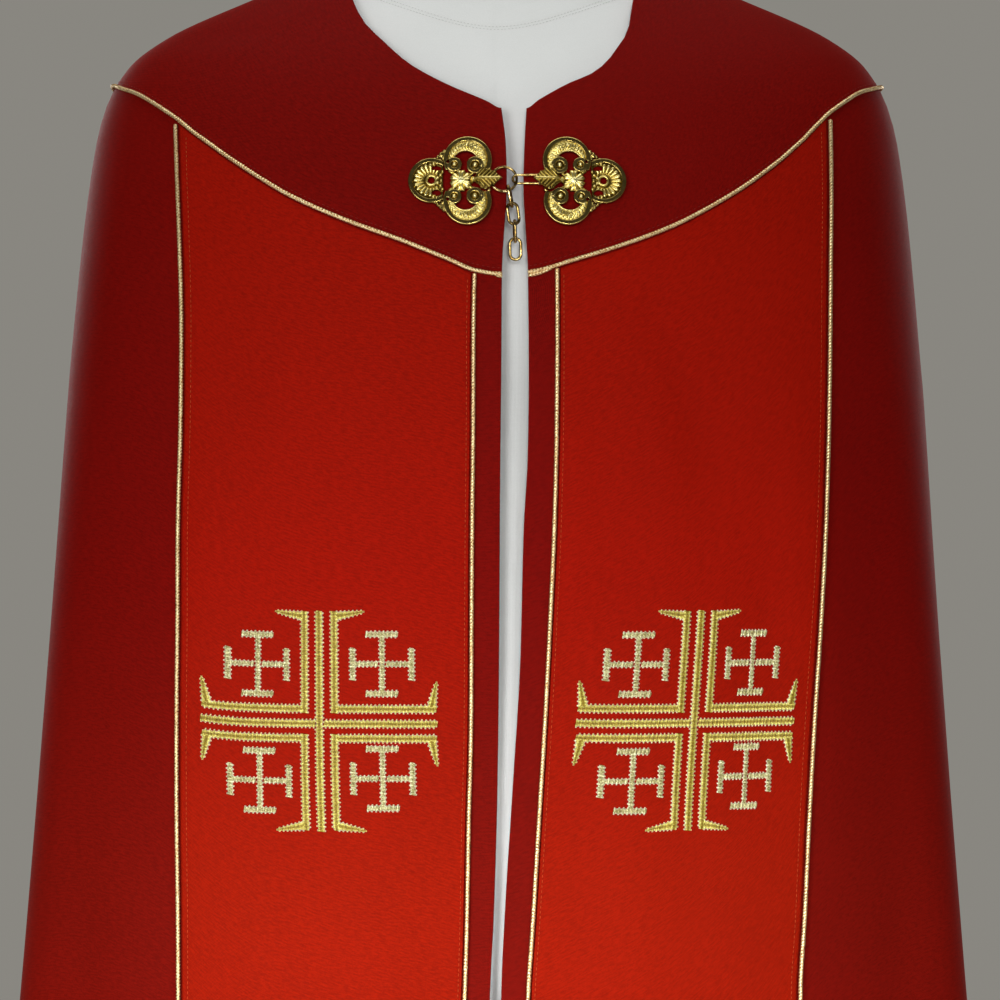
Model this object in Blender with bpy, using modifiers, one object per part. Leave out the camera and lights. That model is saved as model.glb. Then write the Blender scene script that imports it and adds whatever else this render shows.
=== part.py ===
"""Cope vestment, fastened with a pair of gilt clasps, on a plain dress form.

Units are metres, +Z is up, the garment's front faces -Y and +X is on the
right of somebody who looks at the front.  The origin is the centre of the
stand's underside.

The cloth follows one surface: level sections, given by LEVELS, that narrow
from the hem to the neck ring, with hanging flutes pushed out of them.  The
yoke, the body, the two orphreys and the cords are all worked out from that
surface, each a little further out than the piece it lies on.
"""
import math

import bmesh
import bpy
import numpy as np
from mathutils import Matrix, Vector

# ------------------------------------------------------------------ sizes
GAP = 0.0003                 # clearance between pieces that touch
CLOTH = 0.0015               # wall of the yoke and of the body
BAND_CLOTH = 0.0012          # wall of an orphrey
CORD_RADIUS = 0.0018         # gold cord
HEM_HEIGHT = 0.080

BAND_COLUMNS = 6             # divisions across an orphrey
ROUND_COLUMNS = 72           # divisions from orphrey to orphrey round the back
YOKE_ROWS = 4
BODY_ROWS = (0.0, 0.02, 0.06, 0.12, 0.20, 0.29, 0.39, 0.49, 0.59, 0.69,
             0.79, 0.90, 1.0)

# Level sections of the cloth: half width, depths to the front and the back
# of the axis, and how square each quarter is (2 is an ellipse).
LEVEL_COLUMNS = ("height", "half_width", "front_depth", "back_depth",
                 "square_left", "square_right", "square_back")
LEVELS = (
    (0.080, 0.390, 0.192, 0.230, 2.60, 2.15, 2.30),
    (0.400, 0.370, 0.184, 0.210, 2.60, 2.15, 2.30),
    (0.757, 0.350, 0.178, 0.190, 2.60, 2.10, 2.30),
    (1.000, 0.338, 0.173, 0.180, 2.60, 2.10, 2.30),
    (1.200, 0.328, 0.1635, 0.177, 2.60, 2.10, 2.30),
    (1.280, 0.322, 0.1570, 0.175, 2.60, 2.10, 2.30),
    (1.340, 0.316, 0.1515, 0.170, 2.50, 2.10, 2.30),
    (1.390, 0.309, 0.1345, 0.163, 2.40, 2.10, 2.20),
    (1.420, 0.301, 0.1205, 0.155, 2.30, 2.10, 2.15),
    (1.450, 0.284, 0.103, 0.142, 2.15, 2.05, 2.10),
    (1.472, 0.256, 0.088, 0.128, 2.00, 2.00, 2.00),
    (1.504, 0.186, 0.065, 0.100, 2.00, 2.00, 2.00),
    (1.530, 0.125, 0.047, 0.077, 2.00, 2.00, 2.00),
    (1.548, 0.088, 0.032, 0.060, 2.00, 2.00, 2.00),
    (1.570, 0.060, 0.020, 0.040, 2.00, 2.00, 2.00),
)

# The two front edges and the four cord lines, as distances from the middle.
EDGE_COLUMNS = ("height", "left_edge", "right_edge")
EDGES = (
    (0.080, -0.0120, 0.0040),
    (0.400, -0.0100, 0.0020),
    (0.759, -0.0050, 0.0030),
    (0.820, -0.0022, 0.0056),
    (0.911, 0.0004, 0.0113),
    (1.003, 0.0015, 0.0168),
    (1.096, 0.0021, 0.0192),
    (1.150, 0.0025, 0.0222),
    (1.208, 0.0031, 0.0230),
    (1.282, 0.0036, 0.0224),
    (1.310, 0.0051, 0.0209),
    (1.345, 0.0072, 0.0192),
    (1.376, 0.0065, 0.0200),
    (1.405, 0.0032, 0.0215),
)
CORD_COLUMNS = ("height", "left_outer", "left_inner", "right_inner",
                "right_outer")
CORD_LINES = (
    (0.080, -0.2450, -0.0400, 0.0120, 0.2280),
    (0.400, -0.2370, -0.0320, 0.0150, 0.2200),
    (0.758, -0.2304, -0.0232, 0.0221, 0.2200),
    (0.812, -0.2303, -0.0216, 0.0256, 0.2228),
    (0.884, -0.2306, -0.0203, 0.0299, 0.2255),
    (0.955, -0.2303, -0.0186, 0.0343, 0.2288),
    (1.027, -0.2298, -0.0183, 0.0380, 0.2337),
    (1.099, -0.2304, -0.0179, 0.0413, 0.2387),
    (1.172, -0.2297, -0.0172, 0.0430, 0.2426),
    (1.245, -0.2302, -0.0170, 0.0435, 0.2449),
    (1.320, -0.2330, -0.0156, 0.0434, 0.2464),
    (1.400, -0.2384, -0.0156, 0.0434, 0.2481),
)

# Heights of the neck edge and of the yoke's lower edge round the axis.
# Angles run from the front (0) to the right (+90) and to the left (-90).
NECK_COLUMNS = ("angle", "height")
NECK = (
    (-180.0, 1.537), (-150.0, 1.539), (-120.0, 1.541), (-90.0, 1.539),
    (-75.0, 1.523), (-60.4, 1.4939), (-50.6, 1.4731), (-42.5, 1.4593),
    (-30.6, 1.4394), (-17.7, 1.4240), (-3.0, 1.4098), (1.0, 1.4050),
    (9.3, 1.4046), (13.9, 1.4114), (24.1, 1.4242), (32.7, 1.4331),
    (43.0, 1.4529), (48.5, 1.4663), (58.3, 1.4937), (75.0, 1.523),
    (90.0, 1.539), (120.0, 1.541), (150.0, 1.539), (180.0, 1.537),
)
YOKE_EDGE_COLUMNS = ("angle", "height")
YOKE_EDGE = (
    (-180.0, 1.340), (-150.0, 1.355), (-120.0, 1.400), (-100.0, 1.429),
    (-88.0, 1.434), (-79.0, 1.425), (-70.2, 1.4048), (-64.0, 1.3855),
    (-54.5, 1.3581), (-45.3, 1.3356), (-35.4, 1.3189), (-24.5, 1.3055),
    (-12.2, 1.2907), (-5.7, 1.2831), (1.0, 1.2805), (8.6, 1.2820),
    (19.9, 1.2910), (31.7, 1.3027), (42.3, 1.3174), (52.1, 1.3387),
    (61.6, 1.3659), (66.5, 1.3829), (72.9, 1.4072), (81.0, 1.427),
    (90.0, 1.434), (102.0, 1.428), (120.0, 1.400), (150.0, 1.355),
    (180.0, 1.340),
)

# Hanging flutes: where each ridge stands round the axis, its half width in
# degrees, how far it stands out at the hem and the height where it starts.
FLUTE_COLUMNS = ("angle", "half_width", "depth", "start")
FLUTES = (
    (-79.0, 10.5, 0.046, 1.31), (-99.5, 11.0, 0.058, 1.37),
    (-121.0, 11.5, 0.055, 1.30), (-142.5, 10.5, 0.064, 1.26),
    (-162.0, 9.5, 0.050, 1.22), (-180.0, 9.0, 0.060, 1.25),
    (162.5, 9.0, 0.056, 1.20), (143.0, 10.5, 0.052, 1.29),
    (122.0, 11.0, 0.064, 1.27), (101.0, 11.0, 0.055, 1.36),
    (80.5, 10.0, 0.044, 1.30),
)
# Soft troughs and swells on the hanging fronts.
SOFT_COLUMNS = ("angle", "half_width", "depth", "top", "bottom")
SOFT_FOLDS = (
    (48.0, 12.0, -0.0035, 1.33, 0.98), (61.0, 9.0, 0.0030, 1.30, 0.70),
    (-44.0, 11.0, -0.0020, 1.25, 0.80), (-57.0, 8.0, 0.0022, 1.28, 0.72),
    (30.0, 12.0, 0.0020, 1.10, 0.60), (-25.0, 12.0, 0.0018, 1.05, 0.50),
)

# Dress form: limbless torso and neck, level sections.
FORM_COLUMNS = ("height", "half_width", "front_depth", "back_depth",
                "square")
FORM = (
    (0.700, 0.130, 0.112, 0.085, 2.3), (0.704, 0.160, 0.142, 0.106, 2.3),
    (0.720, 0.172, 0.157, 0.116, 2.3), (0.780, 0.178, 0.166, 0.126, 2.4),
    (0.860, 0.180, 0.1655, 0.130, 2.4), (0.940, 0.177, 0.1635, 0.124, 2.4),
    (1.020, 0.172, 0.1605, 0.114, 2.4), (1.100, 0.173, 0.1565, 0.112, 2.4),
    (1.180, 0.178, 0.1515, 0.119, 2.4), (1.250, 0.185, 0.1470, 0.129, 2.3),
    (1.300, 0.192, 0.1415, 0.138, 2.3), (1.340, 0.203, 0.1345, 0.144, 2.3),
    (1.375, 0.217, 0.1245, 0.146, 2.3), (1.405, 0.226, 0.1130, 0.142, 2.3),
    (1.430, 0.227, 0.1010, 0.133, 2.2), (1.450, 0.219, 0.0905, 0.123, 2.1),
    (1.467, 0.201, 0.0805, 0.113, 2.0), (1.483, 0.176, 0.0715, 0.102, 2.0),
    (1.498, 0.146, 0.0640, 0.092, 2.0), (1.511, 0.118, 0.0590, 0.082, 2.0),
    (1.522, 0.094, 0.0565, 0.072, 2.0), (1.534, 0.077, 0.0560, 0.065, 2.0),
    (1.550, 0.068, 0.0560, 0.061, 2.0), (1.575, 0.065, 0.0560, 0.060, 2.0),
    (1.600, 0.064, 0.0550, 0.060, 2.0), (1.612, 0.060, 0.0510, 0.056, 2.0),
    (1.619, 0.050, 0.0410, 0.046, 2.0), (1.622, 0.030, 0.0240, 0.028, 2.0),
)
FORM_SIDES = 36
FORM_BOTTOM = 0.700

POLE_RADIUS = 0.016
BASE_RADIUS = 0.190
BASE_THICKNESS = 0.012
BOSS_RADIUS = 0.030
BOSS_HEIGHT = 0.040

# Clasp plates, in their own plane: u along the fastening (towards the
# middle), v up, w out of the cloth.
CLASP_LIFT = 0.0011          # back of a plate above the cloth
CLASP_STRETCH = (1.03, 1.05)
ROSETTE_RADIUS = 0.0084
SCROLL_AT = (0.0049, 0.0162)
SCROLL_RADIUS = 0.0180
SCROLL_CUT = -0.0102
SCROLL_HOLE = (-0.0013, 0.0008, 0.0074)
VOLUTES = ((-0.0099, -0.0030, 0.0056), (0.0051, -0.0040, 0.0061))
SHELL_AT = -0.0232
SHELL_RADIUS = 0.0154
LEAF_COLUMNS = ("along", "half_height")
LEAF = (
    (0.0085, 0.0026), (0.0105, 0.0048), (0.0125, 0.0052), (0.0142, 0.0042),
    (0.0165, 0.0062), (0.0190, 0.0066), (0.0205, 0.0053), (0.0225, 0.0064),
    (0.0240, 0.0058), (0.0252, 0.0036), (0.0270, 0.0022), (0.0293, 0.0003),
)
LEAF_BOTTOM, LEAF_TOP = 0.0074, 0.0088
FASTENING_OUT = 0.0042       # ring, loop and pin above the plates' backs
LEFT_CLASP_X, RIGHT_CLASP_X, CLASP_HEIGHT = -0.0262, 0.0557, 1.3482

RING_RADIUS = 0.0093
RING_WIRE = 0.00085
RING_LEAN = math.radians(0.0)
RING_AT = 0.0312             # ring centre from the left plate's rosette
LOOP_SPACING = 0.00644
LOOP_TILT = math.radians(38.6)
PIN_AT = 0.0220              # pin from the right plate's rosette

LINK_WIRE = 0.00102
LINK_LENGTH = 0.0153         # between the middles of its end bends
LINK_WIDTH = 0.0079          # between the middles of its sides
LINK_TURNS = (82.0, 18.0, 95.0, 4.0)
LINK_LEANS = (11.0, 8.0, 2.0, 1.0)           # off the plumb line
LINK_PLAY = (0.0015, 0.0004, 0.0004, 0.0004)   # clearance over each bend
CHAIN_FROM_BOTTOM = math.radians(24.0)


# ------------------------------------------------------------- the scene
for old in list(bpy.data.objects):
    bpy.data.objects.remove(old, do_unlink=True)

parts = bpy.data.collections.new("cope_vestment")
bpy.context.scene.collection.children.link(parts)


def material(name, colour, roughness, metallic=0.0):
    mat = bpy.data.materials.new(name)
    mat.use_nodes = True
    shader = mat.node_tree.nodes["Principled BSDF"]
    shader.inputs["Base Color"].default_value = (*colour, 1.0)
    shader.inputs["Roughness"].default_value = roughness
    shader.inputs["Metallic"].default_value = metallic
    return mat


CRIMSON = material("crimson_gabardine", (0.165, 0.007, 0.006), 0.75)
SCARLET = material("scarlet_gabardine", (0.330, 0.013, 0.008), 0.75)
GOLD_CORD = material("gold_cord", (0.620, 0.430, 0.180), 0.42, 0.55)
GILT = material("gilt_brass", (0.640, 0.470, 0.120), 0.28, 1.0)
JERSEY = material("white_jersey", (0.700, 0.720, 0.710), 0.85)
STEEL = material("brushed_steel", (0.480, 0.480, 0.490), 0.35, 1.0)


def keep(obj, mat):
    for collection in list(obj.users_collection):
        collection.objects.unlink(obj)
    parts.objects.link(obj)
    obj.data.materials.clear()
    obj.data.materials.append(mat)
    return obj


# ------------------------------------------------------- smooth look-ups
def column(table, columns, name):
    return [row[columns.index(name)] for row in table]


def smooth(xs, ys, x):
    """Monotone cubic through the points (xs rising)."""
    if x <= xs[0]:
        return ys[0]
    if x >= xs[-1]:
        return ys[-1]
    k = max(i for i in range(len(xs) - 1) if xs[i] <= x)

    def slope(i):
        rise = [(ys[j + 1] - ys[j]) / (xs[j + 1] - xs[j])
                for j in (i - 1, i) if 0 <= j < len(xs) - 1]
        if len(rise) == 1:
            return rise[0]
        if rise[0] * rise[1] <= 0:
            return 0.0
        return 2 * rise[0] * rise[1] / (rise[0] + rise[1])

    step = xs[k + 1] - xs[k]
    t = (x - xs[k]) / step
    return ((2 * t ** 3 - 3 * t * t + 1) * ys[k]
            + (t ** 3 - 2 * t * t + t) * step * slope(k)
            + (3 * t * t - 2 * t ** 3) * ys[k + 1]
            + (t ** 3 - t * t) * step * slope(k + 1))


def reader(table, columns):
    xs = column(table, columns, columns[0])
    stored = {name: column(table, columns, name) for name in columns[1:]}
    return lambda name, x: smooth(xs, stored[name], x)


level = reader(LEVELS, LEVEL_COLUMNS)
edge = reader(EDGES, EDGE_COLUMNS)
cord_line = reader(CORD_LINES, CORD_COLUMNS)
neck = reader(NECK, NECK_COLUMNS)
yoke_edge = reader(YOKE_EDGE, YOKE_EDGE_COLUMNS)
form_level = reader(FORM, FORM_COLUMNS)


def wrapped(angle):
    return (angle + 180.0) % 360.0 - 180.0


# ------------------------------------------------------ the cloth surface
def section(angle, height):
    """Distance from the axis of the plain section, without folds."""
    turn = math.radians(angle)
    side, ahead = math.sin(turn), math.cos(turn)
    if ahead >= 0:
        depth = level("front_depth", height)
        square = level("square_left" if side < 0 else "square_right", height)
    else:
        depth = level("back_depth", height)
        square = level("square_back", height)
    width = level("half_width", height)
    return ((abs(side) / width) ** square
            + (abs(ahead) / depth) ** square) ** (-1 / square)


def fold_depth(angle, height):
    out = 0.0
    for at, half, depth, start in FLUTES:
        off = abs(wrapped(angle - at))
        if off < half and height < start:
            fall = (start - height) / (start - HEM_HEIGHT)
            out += depth * fall ** 1.25 * math.cos(math.pi / 2 * off / half) ** 2
    for at, half, depth, top, bottom in SOFT_FOLDS:
        off = abs(wrapped(angle - at))
        if off < half and bottom < height < top:
            along = (height - bottom) / (top - bottom)
            out += (depth * math.sin(math.pi * along) ** 2
                    * math.cos(math.pi / 2 * off / half) ** 2)
    return out


def cloth_point(angle, height):
    turn = math.radians(angle)
    reach = section(angle, height) + fold_depth(angle, height)
    return np.array((reach * math.sin(turn), -reach * math.cos(turn), height))


def cloth_normal(angle, height):
    around = cloth_point(angle + 0.5, height) - cloth_point(angle - 0.5, height)
    up = cloth_point(angle, height + 0.001) - cloth_point(angle, height - 0.001)
    normal = np.cross(around, up)
    return normal / np.linalg.norm(normal)


def angle_at(x, height):
    """Angle of the front's point that stands x from the middle."""
    width = level("half_width", height)
    depth = level("front_depth", height)
    square = level("square_left" if x < 0 else "square_right", height)
    y = depth * (1 - min(abs(x) / width, 0.999) ** square) ** (1 / square)
    return math.degrees(math.atan2(x, y))


BESIDE_CORD = CORD_RADIUS + GAP + 0.0004


def marks(height):
    """Angles of the front edges and of the orphreys' edges at a height."""
    return (
        angle_at(edge("left_edge", height), height),
        angle_at(cord_line("left_inner", height) - BESIDE_CORD, height),
        angle_at(cord_line("left_outer", height) + BESIDE_CORD, height),
        angle_at(cord_line("right_outer", height) - BESIDE_CORD, height) - 360,
        angle_at(cord_line("right_inner", height) + BESIDE_CORD, height) - 360,
        angle_at(edge("right_edge", height), height) - 360,
    )


DIVISIONS = (1, BAND_COLUMNS, ROUND_COLUMNS, BAND_COLUMNS, 1)
COLUMNS = sum(DIVISIONS) + 1
BAND_START = 1
BAND_END = 1 + BAND_COLUMNS
RIGHT_START = BAND_END + ROUND_COLUMNS
RIGHT_END = RIGHT_START + BAND_COLUMNS


def column_angle(index, height):
    at = marks(height)
    for k, count in enumerate(DIVISIONS):
        if index <= count:
            return at[k] + (at[k + 1] - at[k]) * index / count
        index -= count
    return at[-1]


def seam_of(index):
    """Angle and height where a column meets the yoke's lower edge."""
    height = 1.35
    for _ in range(30):
        angle = column_angle(index, height)
        height = 0.5 * (height + yoke_edge("height", wrapped(angle)))
    return column_angle(index, height), height


SEAMS = [seam_of(i) for i in range(COLUMNS)]


def body_grid():
    rows = []
    for part in BODY_ROWS:
        row = []
        for i in range(COLUMNS):
            top = SEAMS[i][1] - GAP / 2
            height = top + (HEM_HEIGHT - top) * part
            row.append((column_angle(i, height), height))
        rows.append(row)
    return rows


def yoke_grid():
    first, last = SEAMS[0][0], SEAMS[-1][0]
    rows = []
    for r in range(YOKE_ROWS + 1):
        part = r / YOKE_ROWS
        front = 1.405 + (SEAMS[0][1] - 1.405) * part
        start = angle_at(edge("left_edge", front), front)
        end = angle_at(edge("right_edge", front), front) - 360
        top_start = angle_at(edge("left_edge", 1.405), 1.405)
        top_end = angle_at(edge("right_edge", 1.405), 1.405) - 360
        row = []
        for angle, low in SEAMS:
            share = (angle - first) / (last - first)
            here = start + (end - start) * share
            top_angle = top_start + (top_end - top_start) * share
            top = neck("height", wrapped(top_angle))
            low_edge = low + GAP / 2
            row.append((here, top + (low_edge - top) * part))
        rows.append(row)
    return rows


def points_and_normals(grid):
    points = np.array([[cloth_point(a, h) for a, h in row] for row in grid])
    normals = np.array([[cloth_normal(a, h) for a, h in row] for row in grid])
    return points, normals


def on_grid(points, normals, row, col, out):
    """A point on the faceted panel at a fractional row and column."""
    r0 = min(int(row), points.shape[0] - 2)
    c0 = min(int(col), points.shape[1] - 2)
    fr, fc = row - r0, col - c0
    total = np.zeros(3)
    for r, wr in ((r0, 1 - fr), (r0 + 1, fr)):
        for c, wc in ((c0, 1 - fc), (c0 + 1, fc)):
            total += wr * wc * (points[r, c] + out * normals[r, c])
    return total


def sheet_object(name, points, normals, thickness, side, mat):
    """A loft of a wall from a grid of points and the surface's own normals.

    side -1 grows the wall inward from the points, +1 grows it outward.
    The normals are those of the surface and not of the facets, so that two
    pieces that meet at a seam keep one even gap through their thickness.
    """
    other = points + side * thickness * normals
    outer, inner = (other, points) if side > 0 else (points, other)
    rows, cols = points.shape[:2]
    mesh = bpy.data.meshes.new(name)
    bm = bmesh.new()
    skins = [[[bm.verts.new(skin[r, c]) for c in range(cols)]
              for r in range(rows)] for skin in (outer, inner)]
    for skin in skins:
        for r in range(rows - 1):
            for c in range(cols - 1):
                bm.faces.new((skin[r][c], skin[r][c + 1],
                              skin[r + 1][c + 1], skin[r + 1][c]))
    rim = ([(0, c) for c in range(cols)]
           + [(r, cols - 1) for r in range(1, rows)]
           + [(rows - 1, c) for c in range(cols - 2, -1, -1)]
           + [(r, 0) for r in range(rows - 2, 0, -1)])
    for (r0, c0), (r1, c1) in zip(rim, rim[1:] + rim[:1]):
        bm.faces.new((skins[0][r0][c0], skins[0][r1][c1],
                      skins[1][r1][c1], skins[1][r0][c0]))
    bmesh.ops.triangulate(bm, faces=bm.faces, quad_method="FIXED")
    bmesh.ops.recalc_face_normals(bm, faces=bm.faces)
    bm.to_mesh(mesh)
    bm.free()
    mesh.shade_smooth()
    mesh.set_sharp_from_angle(angle=math.radians(50))
    obj = bpy.data.objects.new(name, mesh)
    parts.objects.link(obj)
    mesh.materials.append(mat)
    return obj


# ---------------------------------------------------------- cloth pieces
BODY, BODY_OUT = points_and_normals(body_grid())
YOKE, YOKE_OUT = points_and_normals(yoke_grid())

sheet_object("cope_body", BODY, BODY_OUT, CLOTH, -1.0, CRIMSON)
sheet_object("yoke", YOKE, YOKE_OUT, CLOTH, -1.0, CRIMSON)

# An orphrey starts just under the yoke's cord and ends with the hem.
UNDER_CORD = CORD_RADIUS + GAP + 0.0003


def row_below_seam(col, reach):
    """Fractional body row whose end clears the yoke's cord.

    reach is the piece's half width at its end: a cord that meets the
    sloping seam needs more room than an edge cut along the seam.
    """
    near = BODY[0, min(col + 1, COLUMNS - 1)] - BODY[0, max(col - 1, 0)]
    slope = abs(near[2]) / np.linalg.norm(near[:2])
    distance = UNDER_CORD * math.hypot(1.0, slope) + reach * slope
    first = np.linalg.norm(BODY[1, col] - BODY[0, col])
    second = np.linalg.norm(BODY[2, col] - BODY[1, col])
    if distance <= first:
        return distance / first
    return 1.0 + (distance - first) / second


def band_grid(first, last):
    """Points on the body's own facets, moved out, and their normals."""
    points, normals = [], []
    for r in range(len(BODY_ROWS)):
        near, out = [], []
        for c in range(first, last + 1):
            row = row_below_seam(c, 0.0) if r == 0 else r
            near.append(on_grid(BODY, BODY_OUT, row, c, GAP + 0.0003))
            out.append(on_grid(BODY, BODY_OUT, row, c, 1.0)
                       - on_grid(BODY, BODY_OUT, row, c, 0.0))
        points.append(near)
        normals.append(out)
    return np.array(points), np.array(normals)


for name, first, last in (("orphrey_left", BAND_START, BAND_END),
                          ("orphrey_right", RIGHT_START, RIGHT_END)):
    sheet_object(name, *band_grid(first, last), BAND_CLOTH, 1.0, SCARLET)


# ------------------------------------------------------------------ cords
def tube(name, points, radius, mat, closed=False, resolution=2):
    data = bpy.data.curves.new(name, "CURVE")
    data.dimensions = "3D"
    data.bevel_depth = radius
    data.bevel_resolution = resolution
    data.use_fill_caps = not closed
    line = data.splines.new("POLY")
    line.points.add(len(points) - 1)
    for knot, point in zip(line.points, points):
        knot.co = (*point, 1.0)
    line.use_cyclic_u = closed
    obj = bpy.data.objects.new(name, data)
    parts.objects.link(obj)
    data.materials.append(mat)
    return obj


CORD_OUT = CORD_RADIUS + GAP + 0.0001


def seam_cord_points():
    line = []
    for i in range(COLUMNS):
        low = BODY[0, i] + CORD_OUT * BODY_OUT[0, i]
        high = YOKE[-1, i] + CORD_OUT * YOKE_OUT[-1, i]
        line.append((low + high) / 2)
    return line


tube("cord_yoke", seam_cord_points(), CORD_RADIUS, GOLD_CORD)


def long_cord(name, band_column, towards):
    """Cord on the body beside an orphrey's edge.

    towards is +1 or -1: the side of the orphrey's edge column where the
    cord lies.
    """
    line = []
    top = row_below_seam(band_column, CORD_RADIUS)
    rows = [top] + [r for r in range(1, len(BODY_ROWS)) if r > top + 0.1]
    for row in rows:
        here = on_grid(BODY, BODY_OUT, row, band_column, 0.0)
        there = on_grid(BODY, BODY_OUT, row, band_column + towards, 0.0)
        step = BESIDE_CORD / np.linalg.norm(there - here)
        line.append(on_grid(BODY, BODY_OUT, row,
                            band_column + towards * step, CORD_OUT))
    return tube(name, line, CORD_RADIUS, GOLD_CORD)


long_cord("cord_left_inner", BAND_START, -1)
long_cord("cord_left_outer", BAND_END, 1)
long_cord("cord_right_outer", RIGHT_START, -1)
long_cord("cord_right_inner", RIGHT_END, 1)


# ------------------------------------------------------------- dress form
def lofted_form():
    mesh = bpy.data.meshes.new("dress_form")
    bm = bmesh.new()
    rings = []
    for height in column(FORM, FORM_COLUMNS, "height"):
        ring = []
        for k in range(FORM_SIDES):
            turn = 2 * math.pi * k / FORM_SIDES
            side, ahead = math.sin(turn), math.cos(turn)
            depth = form_level("front_depth" if ahead >= 0 else "back_depth",
                               height)
            width = form_level("half_width", height)
            square = form_level("square", height)
            reach = ((abs(side) / width) ** square
                     + (abs(ahead) / depth) ** square) ** (-1 / square)
            ring.append(bm.verts.new((reach * side, -reach * ahead, height)))
        rings.append(ring)
    for low, high in zip(rings, rings[1:]):
        for k in range(FORM_SIDES):
            nxt = (k + 1) % FORM_SIDES
            bm.faces.new((low[k], low[nxt], high[nxt], high[k]))
    bm.faces.new(list(reversed(rings[0])))
    bm.faces.new(rings[-1])
    bmesh.ops.recalc_face_normals(bm, faces=bm.faces)
    bm.to_mesh(mesh)
    bm.free()
    mesh.shade_smooth()
    obj = bpy.data.objects.new("dress_form", mesh)
    parts.objects.link(obj)
    mesh.materials.append(JERSEY)
    return obj


lofted_form()

# The boss of the base carries the pole; the form stands on the pole.
POLE_BOTTOM = BOSS_HEIGHT + GAP
POLE_TOP = FORM_BOTTOM - GAP
bpy.ops.mesh.primitive_cylinder_add(
    vertices=28, radius=POLE_RADIUS, depth=POLE_TOP - POLE_BOTTOM,
    location=(0, 0, (POLE_TOP + POLE_BOTTOM) / 2))
pole = bpy.context.object
pole.name = "stand_pole"
pole.data.shade_smooth()
pole.data.set_sharp_from_angle(angle=math.radians(40))
keep(pole, STEEL)


def turned(name, profile, steps, mat):
    """Closed turned body from a profile of (radius, height), top to bottom."""
    mesh = bpy.data.meshes.new(name)
    bm = bmesh.new()
    verts = [bm.verts.new((radius, 0, height)) for radius, height in profile]
    for a, b in zip(verts, verts[1:]):
        bm.edges.new((a, b))
    bm.to_mesh(mesh)
    bm.free()
    obj = bpy.data.objects.new(name, mesh)
    parts.objects.link(obj)
    mesh.materials.append(mat)
    screw = obj.modifiers.new("turn", "SCREW")
    screw.steps = steps
    screw.render_steps = steps
    screw.use_merge_vertices = True
    screw.merge_threshold = 0.00005
    return obj


turned("stand_base",
       ((0.0, BOSS_HEIGHT), (BOSS_RADIUS - 0.004, BOSS_HEIGHT),
        (BOSS_RADIUS, BOSS_HEIGHT - 0.004), (BOSS_RADIUS, 0.020),
        (BOSS_RADIUS + 0.006, 0.0145), (BASE_RADIUS - 0.010, BASE_THICKNESS),
        (BASE_RADIUS - 0.003, BASE_THICKNESS - 0.002),
        (BASE_RADIUS, BASE_THICKNESS - 0.006), (BASE_RADIUS, 0.001),
        (BASE_RADIUS - 0.001, 0.0), (0.0, 0.0)), 40, STEEL)


# ----------------------------------------------------------------- clasps
def clasp_frame(x):
    """Plane of a plate: columns u, v, w and the rosette's place."""
    angle = angle_at(x, CLASP_HEIGHT)
    out = Vector(cloth_normal(angle, CLASP_HEIGHT))
    along = Vector((0, 0, 1)).cross(out).normalized()
    up = out.cross(along).normalized()
    place = Vector(cloth_point(angle, CLASP_HEIGHT)) + out * CLASP_LIFT
    frame = Matrix((along, up, out)).transposed().to_4x4()
    frame.translation = place
    return frame


def evaluated_mesh(obj):
    graph = bpy.context.evaluated_depsgraph_get()
    graph.update()
    mesh = bpy.data.meshes.new_from_object(obj.evaluated_get(graph))
    bm = bmesh.new()
    bm.from_mesh(mesh)
    bmesh.ops.remove_doubles(bm, verts=bm.verts, dist=0.000002)
    bm.to_mesh(mesh)
    bm.free()
    return mesh


def combine(target, others, operation):
    for other in others:
        step = target.modifiers.new("step", "BOOLEAN")
        step.operation = operation
        step.solver = "EXACT"
        step.object = other
        mesh = evaluated_mesh(target)
        target.modifiers.clear()
        target.data = mesh
        bpy.data.objects.remove(other, do_unlink=True)
    return target


def settled():
    """The primitive just added, with its place and scale in its mesh."""
    obj = bpy.context.object
    obj.data.transform(Matrix.LocRotScale(obj.location, obj.rotation_euler,
                                          obj.scale))
    obj.matrix_world = Matrix.Identity(4)
    return obj


def disc(u, v, radius, bottom, top, sides=32, squash=(1.0, 1.0)):
    bpy.ops.mesh.primitive_cylinder_add(
        vertices=sides, radius=radius, depth=top - bottom,
        location=(u, v, (top + bottom) / 2), scale=(*squash, 1.0))
    return settled()


def block(u0, u1, v0, v1, w0, w1):
    bpy.ops.mesh.primitive_cube_add(
        size=1.0, location=((u0 + u1) / 2, (v0 + v1) / 2, (w0 + w1) / 2),
        scale=(abs(u1 - u0), abs(v1 - v0), abs(w1 - w0)))
    return settled()


def upright_pin(u, radius, length):
    bpy.ops.mesh.primitive_cylinder_add(
        vertices=12, radius=radius, depth=length,
        location=(u, 0, FASTENING_OUT), rotation=(math.radians(90), 0, 0))
    return settled()


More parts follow.
